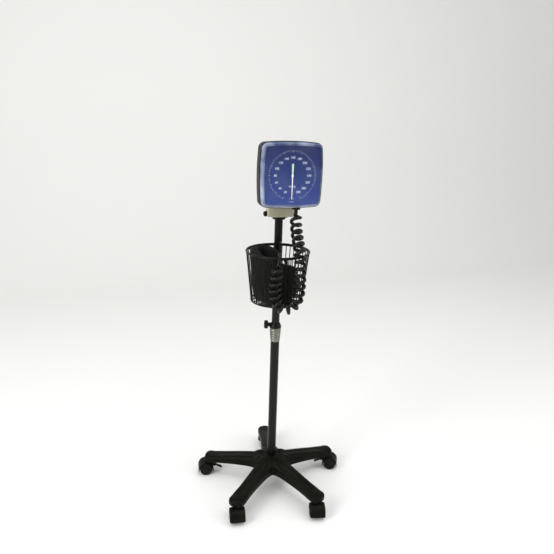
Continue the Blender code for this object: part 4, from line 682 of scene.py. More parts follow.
def hoop(radius, height, wire, steps=132, sides=10):
    """A round wire bent in a circle: a torus."""
    round_it = full_turn(steps)
    across = full_turn(sides)[:, None]
    reach = radius + wire * np.cos(across)
    return skin(round_grid(reach, round_it, height + wire * np.sin(across)), ring=True)


def straight_wires(starts, ends, wire, sides=8):
    """Round wires between two lists of points, each a drum set square to its own run."""
    starts, ends = np.array(starts, dtype=float), np.array(ends, dtype=float)
    run = (ends - starts) / np.linalg.norm(ends - starts, axis=1)[:, None]
    side = np.cross(run, (0.31, 0.17, 0.94))
    side /= np.linalg.norm(side, axis=1)[:, None]
    lift = np.cross(run, side)
    angle = full_turn(sides)[None, :, None]
    circle = wire * (np.cos(angle) * side[:, None] + np.sin(angle) * lift[:, None])
    grids = np.stack([starts[:, None] + circle, ends[:, None] + circle], axis=1)
    return [skin(grid, capped=True) for grid in grids]


turn = full_turn(BASKET_WIRES)
ring = np.stack([np.cos(turn), np.sin(turn)], axis=1)
foot_radius = BASKET_BOTTOM_RADIUS - FOOT_WIRE
rim_radius = BASKET_TOP_RADIUS - RIM_WIRE
foot_points = np.column_stack([ring * foot_radius, np.full(BASKET_WIRES, BASKET_BOTTOM + FOOT_WIRE)])
rim_points = np.column_stack([ring * rim_radius, np.full(BASKET_WIRES, BASKET_TOP - RIM_WIRE)])
spoke_turn = np.linspace(0, math.pi, FLOOR_SPOKES, endpoint=False)
spoke = np.stack([np.cos(spoke_turn), np.sin(spoke_turn)], axis=1) * foot_radius
spoke_height = np.full(FLOOR_SPOKES, BASKET_BOTTOM + WIRE)
basket_shapes = [
    hoop(rim_radius, BASKET_TOP - RIM_WIRE, RIM_WIRE),
    hoop(rim_radius - LOWER_HOOP_INSET, BASKET_TOP - LOWER_HOOP_DROP, WIRE),
    hoop(foot_radius, BASKET_BOTTOM + FOOT_WIRE, FOOT_WIRE),
    *[hoop(foot_radius * share, BASKET_BOTTOM + WIRE * 2.2, WIRE, 96) for share in FLOOR_HOOP_SHARES],
    *straight_wires(foot_points, rim_points, WIRE),
    *straight_wires(
        np.column_stack([spoke, spoke_height]), np.column_stack([-spoke, spoke_height]), WIRE
    ),
]
eye = turned(FLOOR_EYE, 48, ring=True)
basket_shapes = [placed(shape, BASKET_CENTRE) for shape in basket_shapes] + [placed(eye, POLE)]
piece("wire_basket", basket_shapes, powder_coat, "mast", "basket")

clamp = turned(eased(CLAMP_RING, CLAMP_ROUND), 64)
piece("basket_ring", [placed(clamp, POLE)], acetal, "mast", "basket_clamp")
keep(zinc, "clamp_screw")


# Cuff: two plump layers of black nylon cloth round a bladder, folded once and stood in the basket, with
# a sewn hem along both edges and a rubber port for the hose. Its faces lean out like the basket's wall.
CUFF_THICKNESS = 0.026
CUFF_FOOT = 0.006
CUFF_FOLDS = [
    (0.040, -0.033, 0.110), (0.022, -0.047, 0.115), (0.000, -0.052, 0.121), (-0.024, -0.046, 0.130),
    (-0.044, -0.028, 0.141), (-0.052, -0.003, 0.148), (-0.037, 0.019, 0.150),
    (-0.015, 0.013, 0.144), (0.006, 0.010, 0.136),
]
CUFF_ROWS = 150
CUFF_COLUMNS = 96
CUFF_FOLD = 0.0045
CUFF_RUCK = 0.0013
CUFF_HEM = 0.0010
HOSE_END = (0.0030, -0.1180, 0.7475)
HOSE_BEFORE_END = (0.0035, -0.1240, 0.7540)
PORT_RADIUS = 0.0062
PORT_LENGTH = 0.0205
PORT_CLEARANCE = 0.0003
PORT_STRAIGHT = 0.0100
PORT_FLARE = 0.002
PORT_ROUND = 0.0008


def smooth_path(knots, count):
    """Even steps along a Catmull-Rom curve through the knots."""
    knots = np.array(knots, dtype=float)
    line = np.vstack([2 * knots[0] - knots[1], knots, 2 * knots[-1] - knots[-2]])
    a, b, c, d = (line[i : len(line) - 3 + i, None] for i in range(4))
    t = np.linspace(0, 1, 40, endpoint=False)[None, :, None]
    fine = b + (c - a) * t / 2 + (2 * a - 5 * b + 4 * c - d) * t**2 / 2
    fine = (fine + (3 * b - a - 3 * c + d) * t**3 / 2).reshape(-1, 3)
    fine = np.vstack([fine, knots[-1]])
    along = np.concatenate([[0], np.cumsum(np.linalg.norm(np.diff(fine, axis=0), axis=1))])
    even = np.linspace(0, along[-1], count)
    return np.stack([np.interp(even, along, fine[:, k]) for k in range(3)], axis=1), along[-1]


def cuff_shape():
    """The cuff: an upright flat oval carried along its folds, its ends closing in a quarter round.

    The oval is a cosine and a sine to powers under one. Its edges are drawn in where the two layers
    meet, hems stand a little proud beside them, and slow rucks, a product of sines, run down its faces.
    """
    spine, length = smooth_path(CUFF_FOLDS, CUFF_ROWS)
    heading = np.gradient(spine[:, :2], axis=0)
    heading /= np.linalg.norm(heading, axis=1)[:, None]
    share = np.linspace(0, 1, CUFF_ROWS)[:, None]
    end = np.minimum(share, 1 - share) * length / (CUFF_THICKNESS / 2)
    swell = np.sqrt(1 - (1 - np.minimum(end, 1)) ** 2)
    half = (spine[:, 2:] - CUFF_FOOT) / 2 - CUFF_THICKNESS / 2 * (1 - np.maximum(swell, 0.2))
    angle = full_turn(CUFF_COLUMNS)
    across = squared(np.cos(angle), 0.45)
    through = squared(np.sin(angle), 0.6)
    crease = CUFF_FOLD * np.exp(-((np.sin(angle) / 0.16) ** 2))
    hem = CUFF_HEM * np.exp(-(((np.abs(across) - 0.90) / 0.025) ** 2))
    ruck = np.sin(share * 47 + 1.7 * np.sin(across * 2.6)) * np.cos(across * 1.9 + share * 9)
    depth = (CUFF_THICKNESS / 2 - CUFF_RUCK - CUFF_HEM) * swell * through
    depth = depth + np.sign(through) * swell * (CUFF_RUCK * ruck + hem)
    height = (spine[:, 2:] + CUFF_FOOT) / 2 + across * (half - crease)
    wall_lean = (BASKET_TOP_RADIUS / BASKET_BOTTOM_RADIUS - 1) / (BASKET_TOP - BASKET_BOTTOM)
    lean = 1 + wall_lean * height
    x = (spine[:, :1] + heading[:, 1:] * depth) * lean
    y = (spine[:, 1:2] - heading[:, :1] * depth) * lean - BASKET_OFFSET
    return skin(np.stack([x, y, BASKET_BOTTOM + height], axis=-1), capped=True)


# Woven nylon oxford, coated on its back: a near-black plain weave, threads drawn at 0.9 mm so they show
cuff_cloth = surfaced(
    "black nylon oxford", "#0d0e0d", "#181917", 0.025, 0.0012, 0.00010, (0.62, 0.82),
    {"Sheen Weight": 0.04, "Sheen Roughness": 0.5, "Specular IOR Level": 0.12},
)
THREAD = 0.0009
THREAD_RELIEF = 0.00022
tree = cuff_cloth.node_tree
place = object_place(tree)
waves = {"Vector": place, "Scale": 1 / THREAD / math.tau * 2, "Distortion": 0.6}
warp, weft = [
    add_node(tree, "ShaderNodeTexWave", {"bands_direction": way}, waves).outputs["Fac"] for way in "XZ"
]
weave = add_node(tree, "ShaderNodeMath", {"operation": "MAXIMUM"}, {0: warp, 1: weft})
height = {"Height": weave.outputs["Value"], "Distance": THREAD_RELIEF, "Strength": 0.8}
woven = add_node(tree, "ShaderNodeBump", {}, height)
tree.links.new(woven.outputs["Normal"], tree.nodes["Principled BSDF"].inputs["Normal"])

hose_end = Vector(HOSE_END)
port_run = (hose_end - Vector(HOSE_BEFORE_END)).normalized()
port_profile = [
    (0, PORT_CLEARANCE), (PORT_RADIUS, PORT_CLEARANCE), (PORT_RADIUS, PORT_STRAIGHT),
    (PORT_RADIUS + PORT_FLARE, PORT_LENGTH), (0, PORT_LENGTH),
]
port = turned(eased(port_profile, PORT_ROUND), 32)
port = placed(port, Matrix.Translation(hose_end) @ port_run.to_track_quat("Z", "Y").to_matrix().to_4x4())
cuff = piece(
    "folded_cuff",
    [placed(cuff_shape(), BASKET_FRAME), placed(port, BASKET_FRAME)],
    cuff_cloth,
    "mast",
    "cuff",
)


# Bulb: a moulded latex squeeze bulb with a mould line and a short neck, and a plated release valve with
# a knurled screw at its upper end. It stands in the basket beside the cuff, joined to it by a tube.
BULB_CENTRE = (0.038, -0.045, 0.669)
BULB_LEAN = math.radians(14)
BULB_RADIUS = 0.025
BULB_HALF = 0.037
BULB_NECK = 0.0075
CHECK_VALVE = 0.010
VALVE_EDGE = 0.001
MOULD_LINE = 0.0004
MOULD_LINE_HALF = 0.0006

# Latex, dipped and moulded: black with a brown cast, soft sheen, fine flow marks
latex = surfaced(
    "black latex", "#11100a", "#1c1a12", 0.018, 0.0010, 0.00005, (0.42, 0.60),
    {"Specular IOR Level": 0.14, "IOR": 1.52},
)
neck_angle = math.asin(BULB_NECK / BULB_RADIUS)
bow = np.linspace(neck_angle, math.pi - neck_angle, 44)
belly = np.stack([BULB_RADIUS * np.sin(bow), -BULB_HALF * np.cos(bow) / math.cos(neck_angle)], axis=1)
belly[:, 0] += MOULD_LINE * np.exp(-((belly[:, 1] / MOULD_LINE_HALF) ** 2))
valve_foot = -BULB_HALF - CHECK_VALVE
bulb_profile = np.vstack(
    [
        [(0, valve_foot), (BULB_NECK - VALVE_EDGE, valve_foot), (BULB_NECK, valve_foot + VALVE_EDGE)],
        belly,
        [(0, BULB_HALF)],
    ]
)
bulb_frame = BASKET_FRAME @ Matrix.Translation(BULB_CENTRE) @ Matrix.Rotation(-BULB_LEAN, 4, "Y")
bulb = piece("squeeze_bulb", [placed(turned(bulb_profile, 64), bulb_frame)], latex, "mast", "bulb")
keep(zinc, "valve_body", "valve_screw")
keep(latex, "bulb_tube")


# Curly hose: black PVC tube of 9 mm, wound in a coil of 33 mm that springs back. It leaves the gauge's
# inlet, hangs over the front of the basket, loops back up and ends plain at the cuff's port.
HOSE_RADIUS = 0.0045
CURL_RADIUS = 0.0118
CURL_PITCH_TOP = 0.0210
CURL_PITCH_LOW = 0.0174
CURL_STEPS = 24
HOSE_CURLS_FROM = 0.008
HOSE_CURLS_GROW = 0.014
HOSE_PLAIN_TAIL = 0.062
HOSE_PLAIN_STEP = 0.001
HOSE_PITCH_HALFWAY = 0.110
HOSE_ROUTE = [
    (0.043472, -0.070364, 0.8680), (0.043472, -0.070364, 0.8605), (0.0438, -0.0735, 0.8460),
    (0.0450, -0.0870, 0.8260), (0.0483, -0.1090, 0.8050), (0.0532, -0.1335, 0.7830),
    (0.0570, -0.1440, 0.7570), (0.0582, -0.1415, 0.7220), (0.0585, -0.1385, 0.6910),
    (0.0570, -0.1360, 0.6620), (0.0500, -0.1355, 0.6380), (0.0350, -0.1405, 0.6245),
    (0.0165, -0.1460, 0.6255), (0.0030, -0.1495, 0.6410), (-0.0025, -0.1520, 0.6640),
    (-0.0030, -0.1550, 0.6900), (-0.0010, -0.1585, 0.7150), (0.0015, -0.1605, 0.7350),
    (0.0040, -0.1585, 0.7505), (0.0048, -0.1515, 0.7610), (0.0048, -0.1420, 0.7652),
    (0.0042, -0.1320, 0.7615), (0.0035, -0.1240, 0.7540),
    HOSE_END,
]


def hose_line():
    """The hose's centre line: a helix round the route, whose radius swells and fades at its ends.

    The pitch eases exponentially from its value at the top, where the weight below stretches it.
    """
    steps = 4001
    path, length = smooth_path(HOSE_ROUTE, steps)
    heading = np.gradient(path, axis=0)
    heading /= np.linalg.norm(heading, axis=1)[:, None]
    side = np.cross(heading[0], (0, 1, 0))
    carried = []
    for ahead in heading:
        side = side - ahead * (side @ ahead)
        side = side / np.linalg.norm(side)
        carried.append(side)
    sides = np.array(carried)
    lifts = np.cross(heading, sides)
    along = np.linspace(0, length, steps)
    curls_to = length - HOSE_PLAIN_TAIL
    grow = np.clip((along - HOSE_CURLS_FROM) / HOSE_CURLS_GROW, 0, 1)
    fade = np.clip((curls_to - along) / HOSE_CURLS_GROW, 0, 1)
    radius = CURL_RADIUS * np.sin(np.minimum(grow, fade) * np.pi / 2) ** 2
    ease = np.exp(-along / HOSE_PITCH_HALFWAY * np.log(2))
    pitch = CURL_PITCH_LOW + (CURL_PITCH_TOP - CURL_PITCH_LOW) * ease
    phase = math.tau * np.cumsum((length / (steps - 1)) / pitch)
    line = path + radius[:, None] * (np.cos(phase)[:, None] * sides + np.sin(phase)[:, None] * lifts)
    plain = (along < HOSE_CURLS_FROM) | (along > curls_to)
    tick = np.where(plain, np.floor(along / HOSE_PLAIN_STEP), np.floor(phase * CURL_STEPS / math.tau))
    kept = np.concatenate([[True], (np.diff(tick) != 0) | (np.diff(plain.astype(int)) != 0)])
    kept[-1] = True
    return line[kept]


# Soft PVC, extruded: black and glossy, with a faint haze
hose_vinyl = surfaced(
    "black soft vinyl", "#0a0b07", "#12130e", 0.030, 0.0020, 0.00003, (0.22, 0.34),
    {"Specular IOR Level": 0.18, "IOR": 1.53},
)
line = np.array(BASKET_FRAME)
hose_points = hose_line() @ line[:3, :3].T + line[:3, 3]
curve = bpy.data.curves.new("spring_hose", "CURVE")
curve.dimensions = "3D"
curve.bevel_depth = HOSE_RADIUS
curve.bevel_resolution = 3
curve.use_fill_caps = True
run = curve.splines.new("POLY")
run.points.add(len(hose_points) - 1)
run.points.foreach_set("co", np.column_stack([hose_points, np.ones(len(hose_points))]).ravel())
run.use_smooth = True
curve.materials.append(hose_vinyl)
hose = shown("spring_hose", curve)
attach(hose, "mast")
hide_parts("curly_hose")


# Head block: a black moulding plugged in the upper tube, a flange that caps it, a square body and a
# barrel across its front for the tilt axle. A spring button of bright steel holds it in the tube.
HEAD_FOOT = 0.830
HEAD_TOP = 0.857
HEAD_HALF = 0.020
TILT_FORWARD = 0.018
TILT_HEIGHT = 0.848
BARREL_RADIUS = 0.008
BARREL_HALF = 0.0375
BARREL_ROUND = 0.001
FLANGE_RADIUS = 0.0180
FLANGE_THICKNESS = 0.0060
FLANGE_ROUND = 0.0016
POST_RADIUS = 0.0091
POST_FOOT = 0.750
POST_TOP = 0.832
BODY_FOOT = 0.8355
BODY_DEPTH = 0.035
BODY_FORWARD = 0.0005
BODY_CORNER = 0.004
BODY_EDGE = 0.0018


def rounded_outline(half_x, half_y, corner, steps=8):
    """A rectangle with round corners, anticlockwise: four arcs about the corners' centres."""
    a = np.linspace(0, math.pi / 2, steps + 1)
    sides = [(1, 1), (-1, 1), (-1, -1), (1, -1)]
    arcs = []
    for quarter, (x, y) in enumerate(sides):
        turn = a + quarter * math.pi / 2
        out = x * (half_x - corner) + corner * np.cos(turn)
        up = y * (half_y - corner) + corner * np.sin(turn)
        arcs.append(np.stack([out, up], axis=1))
    return np.vstack(arcs)


def rounded_block(size, corner, edge):
    """A block about the origin: its outline shrinks by a quarter round towards the top and the foot."""
    x, y, z = (length / 2 for length in size)
    a = np.linspace(0, math.pi / 2, 6)
    inset = np.concatenate([edge * (1 - np.sin(a)), edge * (1 - np.sin(a[::-1]))])
    level = np.concatenate([-z + edge * (1 - np.cos(a)), z - edge * (1 - np.cos(a[::-1]))])
    rows = [
        np.column_stack([rounded_outline(x - i, y - i, max(corner - i, edge / 4)), np.full(36, height)])
        for i, height in zip(inset, level)
    ]
    return skin(np.array(rows), capped=True)


flange = eased(drum(FLANGE_RADIUS, HEAD_FOOT, HEAD_FOOT + FLANGE_THICKNESS), FLANGE_ROUND)
body = rounded_block((2 * HEAD_HALF, BODY_DEPTH, HEAD_TOP - BODY_FOOT), BODY_CORNER, BODY_EDGE)
barrel = eased(drum(BARREL_RADIUS, -BARREL_HALF, BARREL_HALF), BARREL_ROUND)
sideways = moved(0, -TILT_FORWARD, TILT_HEIGHT) @ on_side
head_shapes = [
    turned(flange, 64),
    turned(drum(POST_RADIUS, POST_FOOT, POST_TOP), 40),
    placed(body, moved(0, -BODY_FORWARD, (HEAD_TOP + BODY_FOOT) / 2)),
    placed(turned(barrel, 48), sideways),
]
piece("head_moulding", [placed(shape, POLE) for shape in head_shapes], acetal, "mast", "head_block")

# Bright nickel on steel: a mirror with a trace of haze
nickel = surfaced(
    "bright nickel", "#c9cbcc", "#dcdee0", 0.006, 0.0010, 0.00001, (0.10, 0.18),
    {"Metallic": 1.0},
)
keep(nickel, "snap_button")


# Yoke: a bracket of 2 mm steel, its front plate screwed to the gauge's back and its two ears on the tilt
# axle, stove-enamelled a flat olive beige. A black dome nut clamps the left ear.
YOKE_HALF = 0.040
YOKE_PLATE = 0.002
YOKE_FRONT = 0.040
YOKE_BOTTOM = 0.8415
YOKE_TOP = 0.925
EAR_TOP = 0.866
EAR_REAR = 0.009
YOKE_CORNER = 0.0105
YOKE_EDGE = 0.0006
EAR_CORNER = 0.0085
EAR_RISE = 0.0015
NUT_SEAT = 0.0003
NUT_ROUND = 0.0012
NUT_PROFILE = [
    (0, 0.0046), (0.0033, 0.0046), (0.0033, 0), (0.0075, 0), (0.0075, 0.0030), (0.0064, 0.0070),
    (0.0030, 0.0085), (0, 0.0085),
]

# Stove enamel, flat: an even olive beige, faintly grained
beige_enamel = surfaced(
    "olive-beige enamel", "#a09e86", "#aba992", 0.050, 0.0010, 0.00003, (0.48, 0.60),
    {"Specular IOR Level": 0.4},
)
plate = rounded_block((2 * YOKE_HALF, YOKE_TOP - YOKE_BOTTOM, YOKE_PLATE), YOKE_CORNER, YOKE_EDGE)
plate_at = moved(0, -YOKE_FRONT + YOKE_PLATE / 2, (YOKE_TOP + YOKE_BOTTOM) / 2)
yoke_shapes = [placed(plate, plate_at @ upright)]
ear_depth = YOKE_FRONT - EAR_REAR - YOKE_PLATE / 4
ear_low = YOKE_BOTTOM + EAR_RISE
ear_y = -YOKE_FRONT + YOKE_PLATE / 4 + ear_depth / 2
for side in (-1, 1):
    ear = rounded_block((EAR_TOP - ear_low, ear_depth, YOKE_PLATE), EAR_CORNER, YOKE_EDGE)
    ear_x = side * (YOKE_HALF - YOKE_PLATE / 2)
    ear_at = moved(ear_x, ear_y, (EAR_TOP + ear_low) / 2)
    yoke_shapes.append(placed(ear, ear_at @ on_side))
piece("yoke_bracket", [placed(shape, POLE) for shape in yoke_shapes], beige_enamel, "head", "yoke")
keep(zinc, "tilt_axle", "yoke_screw_left", "yoke_screw_right")

dome = eased(NUT_PROFILE, NUT_ROUND)
nut_at = moved(-YOKE_HALF - NUT_SEAT, -TILT_FORWARD, TILT_HEIGHT)
nut_at = nut_at @ Matrix.Rotation(-math.pi / 2, 4, "Y")
piece("dome_nut", [placed(turned(dome, 40), POLE @ nut_at)], acetal, "nut", "tilt_nut")


# Gauge: a shallow tray case of black ABS with slightly bowed sides, a blue dial on a thin aluminium
# plate, and a clear cover moulded in acrylic with a bevelled rim that snaps over the case.
GAUGE_HEIGHT = 0.957
GAUGE_HALF = 0.080
GAUGE_BULGE = 0.0025
GAUGE_CORNER = 0.017
CASE_BACK = 0.058
CASE_SHOULDER = 0.066
CASE_FRONT = 0.096
CASE_INSET = 0.010
CASE_WALL = 0.0025
DIAL_INSET = 0.0075
DIAL_BACK = 0.101
DIAL_FRONT = 0.103
LENS_FRONT = 0.110
LENS_FOOT_INSET = 0.0012
LENS_FRONT_INSET = 0.007
LENS_WALL = 0.0025
LENS_ROUND = 0.0009
GAUGE_LEAST_CORNER = 0.001
LENS_PANE_INSET = 0.0043
LENS_SEAT = 0.0003
BACK_FACE_INSET = 0.012
CASE_ROUND = 0.0022
PAD_SIZE = (0.064, 0.030, 0.0185)
PAD_CORNER = 0.004
PAD_EDGE = 0.0012
PAD_FORWARD = 0.0496
PAD_HEIGHT = 0.908


def gauge_rows(profile):
    """Rings of a bowed square, one for each (inset, forward) point of a profile.

    Each side is a parabola over its flat length, and each corner an arc whose radius the inset shrinks.
    """
    inset = profile[:, :1]
    corner = np.maximum(GAUGE_CORNER - inset, GAUGE_LEAST_CORNER)
    flat = GAUGE_HALF - inset - corner
    s = np.linspace(-1, 1, 17)
    side_out = flat + corner + GAUGE_BULGE * (1 - s * s)
    side_up = flat * s
    a = np.linspace(0, math.pi / 2, 13)[1:-1]
    out = np.hstack([side_out, flat + corner * np.cos(a)])
    up = np.hstack([side_up, flat + corner * np.sin(a)])
    x = np.hstack([out, -up, -out, up])
    z = np.hstack([up, out, -up, -out])
    y = np.broadcast_to(-profile[:, 1:], x.shape)
    return np.stack([x, y, GAUGE_HEIGHT + z], axis=-1)


case = skin(
    gauge_rows(
        eased(
            [
                (CASE_INSET + BACK_FACE_INSET, CASE_BACK), (CASE_INSET, CASE_BACK),
                (0, CASE_SHOULDER), (0, CASE_FRONT), (CASE_WALL, CASE_FRONT),
                (CASE_WALL, CASE_SHOULDER + CASE_WALL),
                (CASE_INSET + CASE_WALL, CASE_BACK + CASE_WALL),
            ],
            CASE_ROUND,
        )
    ),
    capped=True,
)
pad_at = moved(0, -PAD_FORWARD, PAD_HEIGHT) @ upright
pad = placed(rounded_block(PAD_SIZE, PAD_CORNER, PAD_EDGE), pad_at)

# ABS, moulded and lightly textured: olive-black, a touch glossier than the base
abs_plastic = surfaced(
    "black ABS", "#0d0e08", "#171810", 0.040, 0.0008, 0.00005, (0.34, 0.48),
    {"Specular IOR Level": 0.12, "IOR": 1.53},
)
piece("gauge_case", [placed(case, POLE), placed(pad, POLE)], abs_plastic, "head", "rear_case")
keep(abs_plastic, "hose_inlet")
# Brass, milled: a warm yellow metal behind the dial
brass = surfaced(
    "milled brass", "#a8873f", "#c3a25a", 0.008, 0.0008, 0.00003, (0.24, 0.38), {"Metallic": 1.0}
)
keep(brass, "movement", "capsule", "needle_arbor")

dial = skin(gauge_rows(eased([(DIAL_INSET, DIAL_BACK), (DIAL_INSET, DIAL_FRONT)], 0.0)), capped=True)
# Screen-printed enamel on the dial plate: deep blue; painted shade darkens it to navy towards the top, and
# it is clearer lower down
dial_blue = surfaced(
    "printed blue enamel with painted shade", "#22307a", "#2a3b8a", 0.050, 0.0009, 0.00001, (0.34, 0.42),
    {"Specular IOR Level": 0.4},
)
tree = dial_blue.node_tree
place = object_place(tree)
falling = add_node(tree, "ShaderNodeSeparateXYZ", {}, {"Vector": place})
rise = remap(tree, falling.outputs["Z"], GAUGE_HEIGHT - GAUGE_HALF, GAUGE_HEIGHT + GAUGE_HALF)
# Painted shade: the dial's blue runs from clearer at the foot of the gauge to navy at its top, by height
# alone
paint(tree, ramped(tree, rise, "#243b82", "#131c4d"))
piece("dial", [placed(dial, POLE)], dial_blue, "head", "dial_plate")

# Marks of the dial, printed pale blue-grey: a ring of ticks from 20 to 300 in steps of 5, longer at each
# 10 and numbered every 20, with its unit, a short rule and a foot line at the zero.
SCALE_RADIUS = 0.0622
TICK_SHORT = 0.0034
TICK_MIDDLE = 0.0044
TICK_LONG = 0.0058
TICK_WIDTH = 0.00062
TICK_BROAD = 0.00085
ZERO_HALF = 0.0066
ZERO_HEIGHT = 0.0650
UNIT_HEIGHT = 0.0262
UNIT_SIZE = 0.0066
RULE_WIDTH = 0.0007
NUMBER_RADIUS = 0.0440
NUMBER_SIZE = 0.0080
MARK_DEPTH = 0.00012
MARK_FRONT = DIAL_FRONT + MARK_DEPTH
DEGREES_PER_UNIT = 22.5 / 20


def dial_bars(values, inner, outer, width):
    """Flat bars along the dial's radii, clockwise from six o'clock as the value rises."""
    turn = np.radians(np.array(values, dtype=float) * DEGREES_PER_UNIT)
    along = np.stack([-np.sin(turn), -np.cos(turn)], axis=1)
    across = np.stack([along[:, 1], -along[:, 0]], axis=1) * width / 2
    corners = [(inner, -1), (inner, 1), (outer, 1), (outer, -1)]
    plan = np.stack([along * reach + across * side for reach, side in corners], axis=1)
    return flat_marks(plan)


def prism(outline, front, back):
    """A flat form on the gauge from an outline of (right, up) points about the dial's centre."""
    layers = [
        np.column_stack([outline[:, 0], np.full(len(outline), -y), outline[:, 1] + GAUGE_HEIGHT])
        for y in (front, back)
    ]
    return skin(np.array(layers), capped=True)


def flat_marks(plan):
    """Thin prisms on the dial, one from each outline."""
    return [prism(outline, MARK_FRONT, MARK_FRONT - 2 * MARK_DEPTH) for outline in plan]


values = np.arange(20, 301, 5)
shapes = dial_bars(values[values % 10 != 0], SCALE_RADIUS - TICK_SHORT, SCALE_RADIUS, TICK_WIDTH)
shapes += dial_bars(values[values % 10 == 0], SCALE_RADIUS - TICK_MIDDLE, SCALE_RADIUS, TICK_WIDTH)
shapes += dial_bars(values[values % 20 == 0], SCALE_RADIUS - TICK_LONG, SCALE_RADIUS, TICK_BROAD)
foot_line = np.array([(-1, -1), (1, -1), (1, 1), (-1, 1)]) * (ZERO_HALF, RULE_WIDTH / 2)
shapes += flat_marks([foot_line - (0, ZERO_HEIGHT)])
for side in (-1, 1):
    stroke = np.array([(-1, -1), (1, -1), (1, 1), (-1, 1)]) * (RULE_WIDTH / 2, TICK_SHORT / 2)
    shapes += flat_marks([stroke + (side * ZERO_HALF * 0.75, -ZERO_HEIGHT + TICK_LONG * 1.4)])

# Printing ink, pale blue-grey, dull
ink = surfaced("pale printing ink", "#b9c3cf", "#cdd5dc", 0.020, 0.0006, 0.00001, (0.5, 0.6), {})
marks = piece("dial_marks", [placed(shape, POLE) for shape in shapes], ink, "head")


def lettering(text, size, right, up):
    """The outline of a text as a thin mesh on the dial, centred on a point."""
    curve = bpy.data.curves.new(f"text_{text}", "FONT")
    curve.body = text
    curve.size = size
    curve.align_x = "CENTER"
    curve.align_y = "CENTER"
    curve.resolution_u = 3
    curve.extrude = MARK_DEPTH
    curve.offset = size * 0.012
    source = shown(f"text_{text}", curve)
    bpy.context.view_layer.update()
    mesh = bpy.data.meshes.new_from_object(source)
    bpy.data.objects.remove(source)
    at = POLE @ moved(right, -MARK_FRONT + MARK_DEPTH, GAUGE_HEIGHT + up) @ upright
    mesh.transform(at)
    form = bmesh.new()
    form.from_mesh(mesh)
    bmesh.ops.remove_doubles(form, verts=form.verts, dist=WELD)
    bmesh.ops.recalc_face_normals(form, faces=form.faces)
    form.to_mesh(mesh)
    form.free()
    return mesh


letters = []
for value in range(20, 301, 20):
    turn = math.radians(value * DEGREES_PER_UNIT)
    number_right = -math.sin(turn) * NUMBER_RADIUS
    number_up = -math.cos(turn) * NUMBER_RADIUS
    letters.append(lettering(str(value), NUMBER_SIZE, number_right, number_up))
letters.append(lettering("mmHg", UNIT_SIZE, 0, -UNIT_HEIGHT))
form = bmesh.new()
for mesh in letters:
    form.from_mesh(mesh)
joined = bpy.data.meshes.new("dial_numbers")
form.to_mesh(joined)
form.free()
joined.materials.append(ink)
numbers = shown("dial_numbers", joined)
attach(numbers, "head")


# Needle: stamped aluminium, painted white, with a broad pale-green tail, riveted to a small hub
NEEDLE_BACK = 0.1042
NEEDLE_FRONT = 0.1051
TAIL_FROM = 0.006
TAIL_FADE = 0.002
NEEDLE_HUB = [(0, -0.0015), (0.0030, -0.0015), (0.0030, 0), (0.0018, 0.0004), (0, 0.0004)]
NEEDLE_HUB_ROUND = 0.0003
NEEDLE_OUTLINE = np.array(
    [
        (-0.0007, -0.0585), (0.0007, -0.0585), (0.0013, -0.010), (0.0014, 0.006), (0.0024, 0.012),
        (0.0025, 0.029), (-0.0025, 0.029), (-0.0024, 0.012), (-0.0014, 0.006), (-0.0013, -0.010),
    ]
)
# Baked paint on the needle: white along the pointer, pale green on the tail
needle_paint = surfaced(
    "white needle paint", "#e9eeea", "#f4f6f3", 0.020, 0.0006, 0.00001, (0.35, 0.45), {}
)
tree = needle_paint.node_tree
place = object_place(tree)
height = add_node(tree, "ShaderNodeSeparateXYZ", {}, {"Vector": place})
tail_low = GAUGE_HEIGHT + TAIL_FROM
tail_share = remap(tree, height.outputs["Z"], tail_low, tail_low + TAIL_FADE)
paint(tree, ramped(tree, tail_share, "#eef2ee", "#b9dcc0"))
hub = turned(eased(NEEDLE_HUB, NEEDLE_HUB_ROUND), 32)
hub_at = moved(0, -NEEDLE_FRONT, GAUGE_HEIGHT) @ upright
needle = prism(NEEDLE_OUTLINE, NEEDLE_FRONT, NEEDLE_BACK)
shapes = [placed(needle, POLE), placed(hub, POLE @ hub_at)]
piece("painted_needle", shapes, needle_paint, "pointer", "needle")


# Cover of the gauge: clear acrylic, moulded, flat in front, with a bevel all round whose colour is a
# painted highlight, lighter towards the bottom. It snaps over the case.
HIGHLIGHT_PATCH = 0.036
BEVEL_ALPHA_FADE = 0.0015
cover = skin(
    gauge_rows(
        eased(
            [
                (LENS_FRONT_INSET + LENS_PANE_INSET, LENS_FRONT), (LENS_FRONT_INSET, LENS_FRONT),
                (LENS_FOOT_INSET, CASE_FRONT + LENS_SEAT),
                (LENS_FOOT_INSET + LENS_WALL, CASE_FRONT + LENS_SEAT),
                (LENS_FRONT_INSET + LENS_WALL, LENS_FRONT - LENS_WALL),
                (LENS_FRONT_INSET + LENS_PANE_INSET, LENS_FRONT - LENS_WALL),
            ],
            LENS_ROUND,
        )
    ),
    capped=True,
)
# Acrylic, polished: clear in front; the bevel carries painted light, a blue-grey like the dial seen
# through it rising to a near-white painted highlight
acrylic = bpy.data.materials.new("clear acrylic")
acrylic.use_nodes = True
tree = acrylic.node_tree
shader = tree.nodes["Principled BSDF"]
shader.inputs["Roughness"].default_value = 0.06
shader.inputs["IOR"].default_value = 1.49
place = object_place(tree)
depth = add_node(tree, "ShaderNodeSeparateXYZ", {}, {"Vector": place})
front_y = POLE.translation.y - LENS_FRONT
behind = front_y + LENS_WALL
window = remap(tree, depth.outputs["Y"], behind, behind + BEVEL_ALPHA_FADE, 0.02, 0.55)
drift = {"Vector": place, "Scale": 1 / HIGHLIGHT_PATCH, "Detail": 1.0}
highlight_mottle = add_node(tree, "ShaderNodeTexNoise", {}, drift)
highlight_top = GAUGE_HEIGHT + GAUGE_HALF / 2
lower = remap(tree, depth.outputs["Z"], highlight_top, GAUGE_HEIGHT - GAUGE_HALF, 0.0, 0.35)
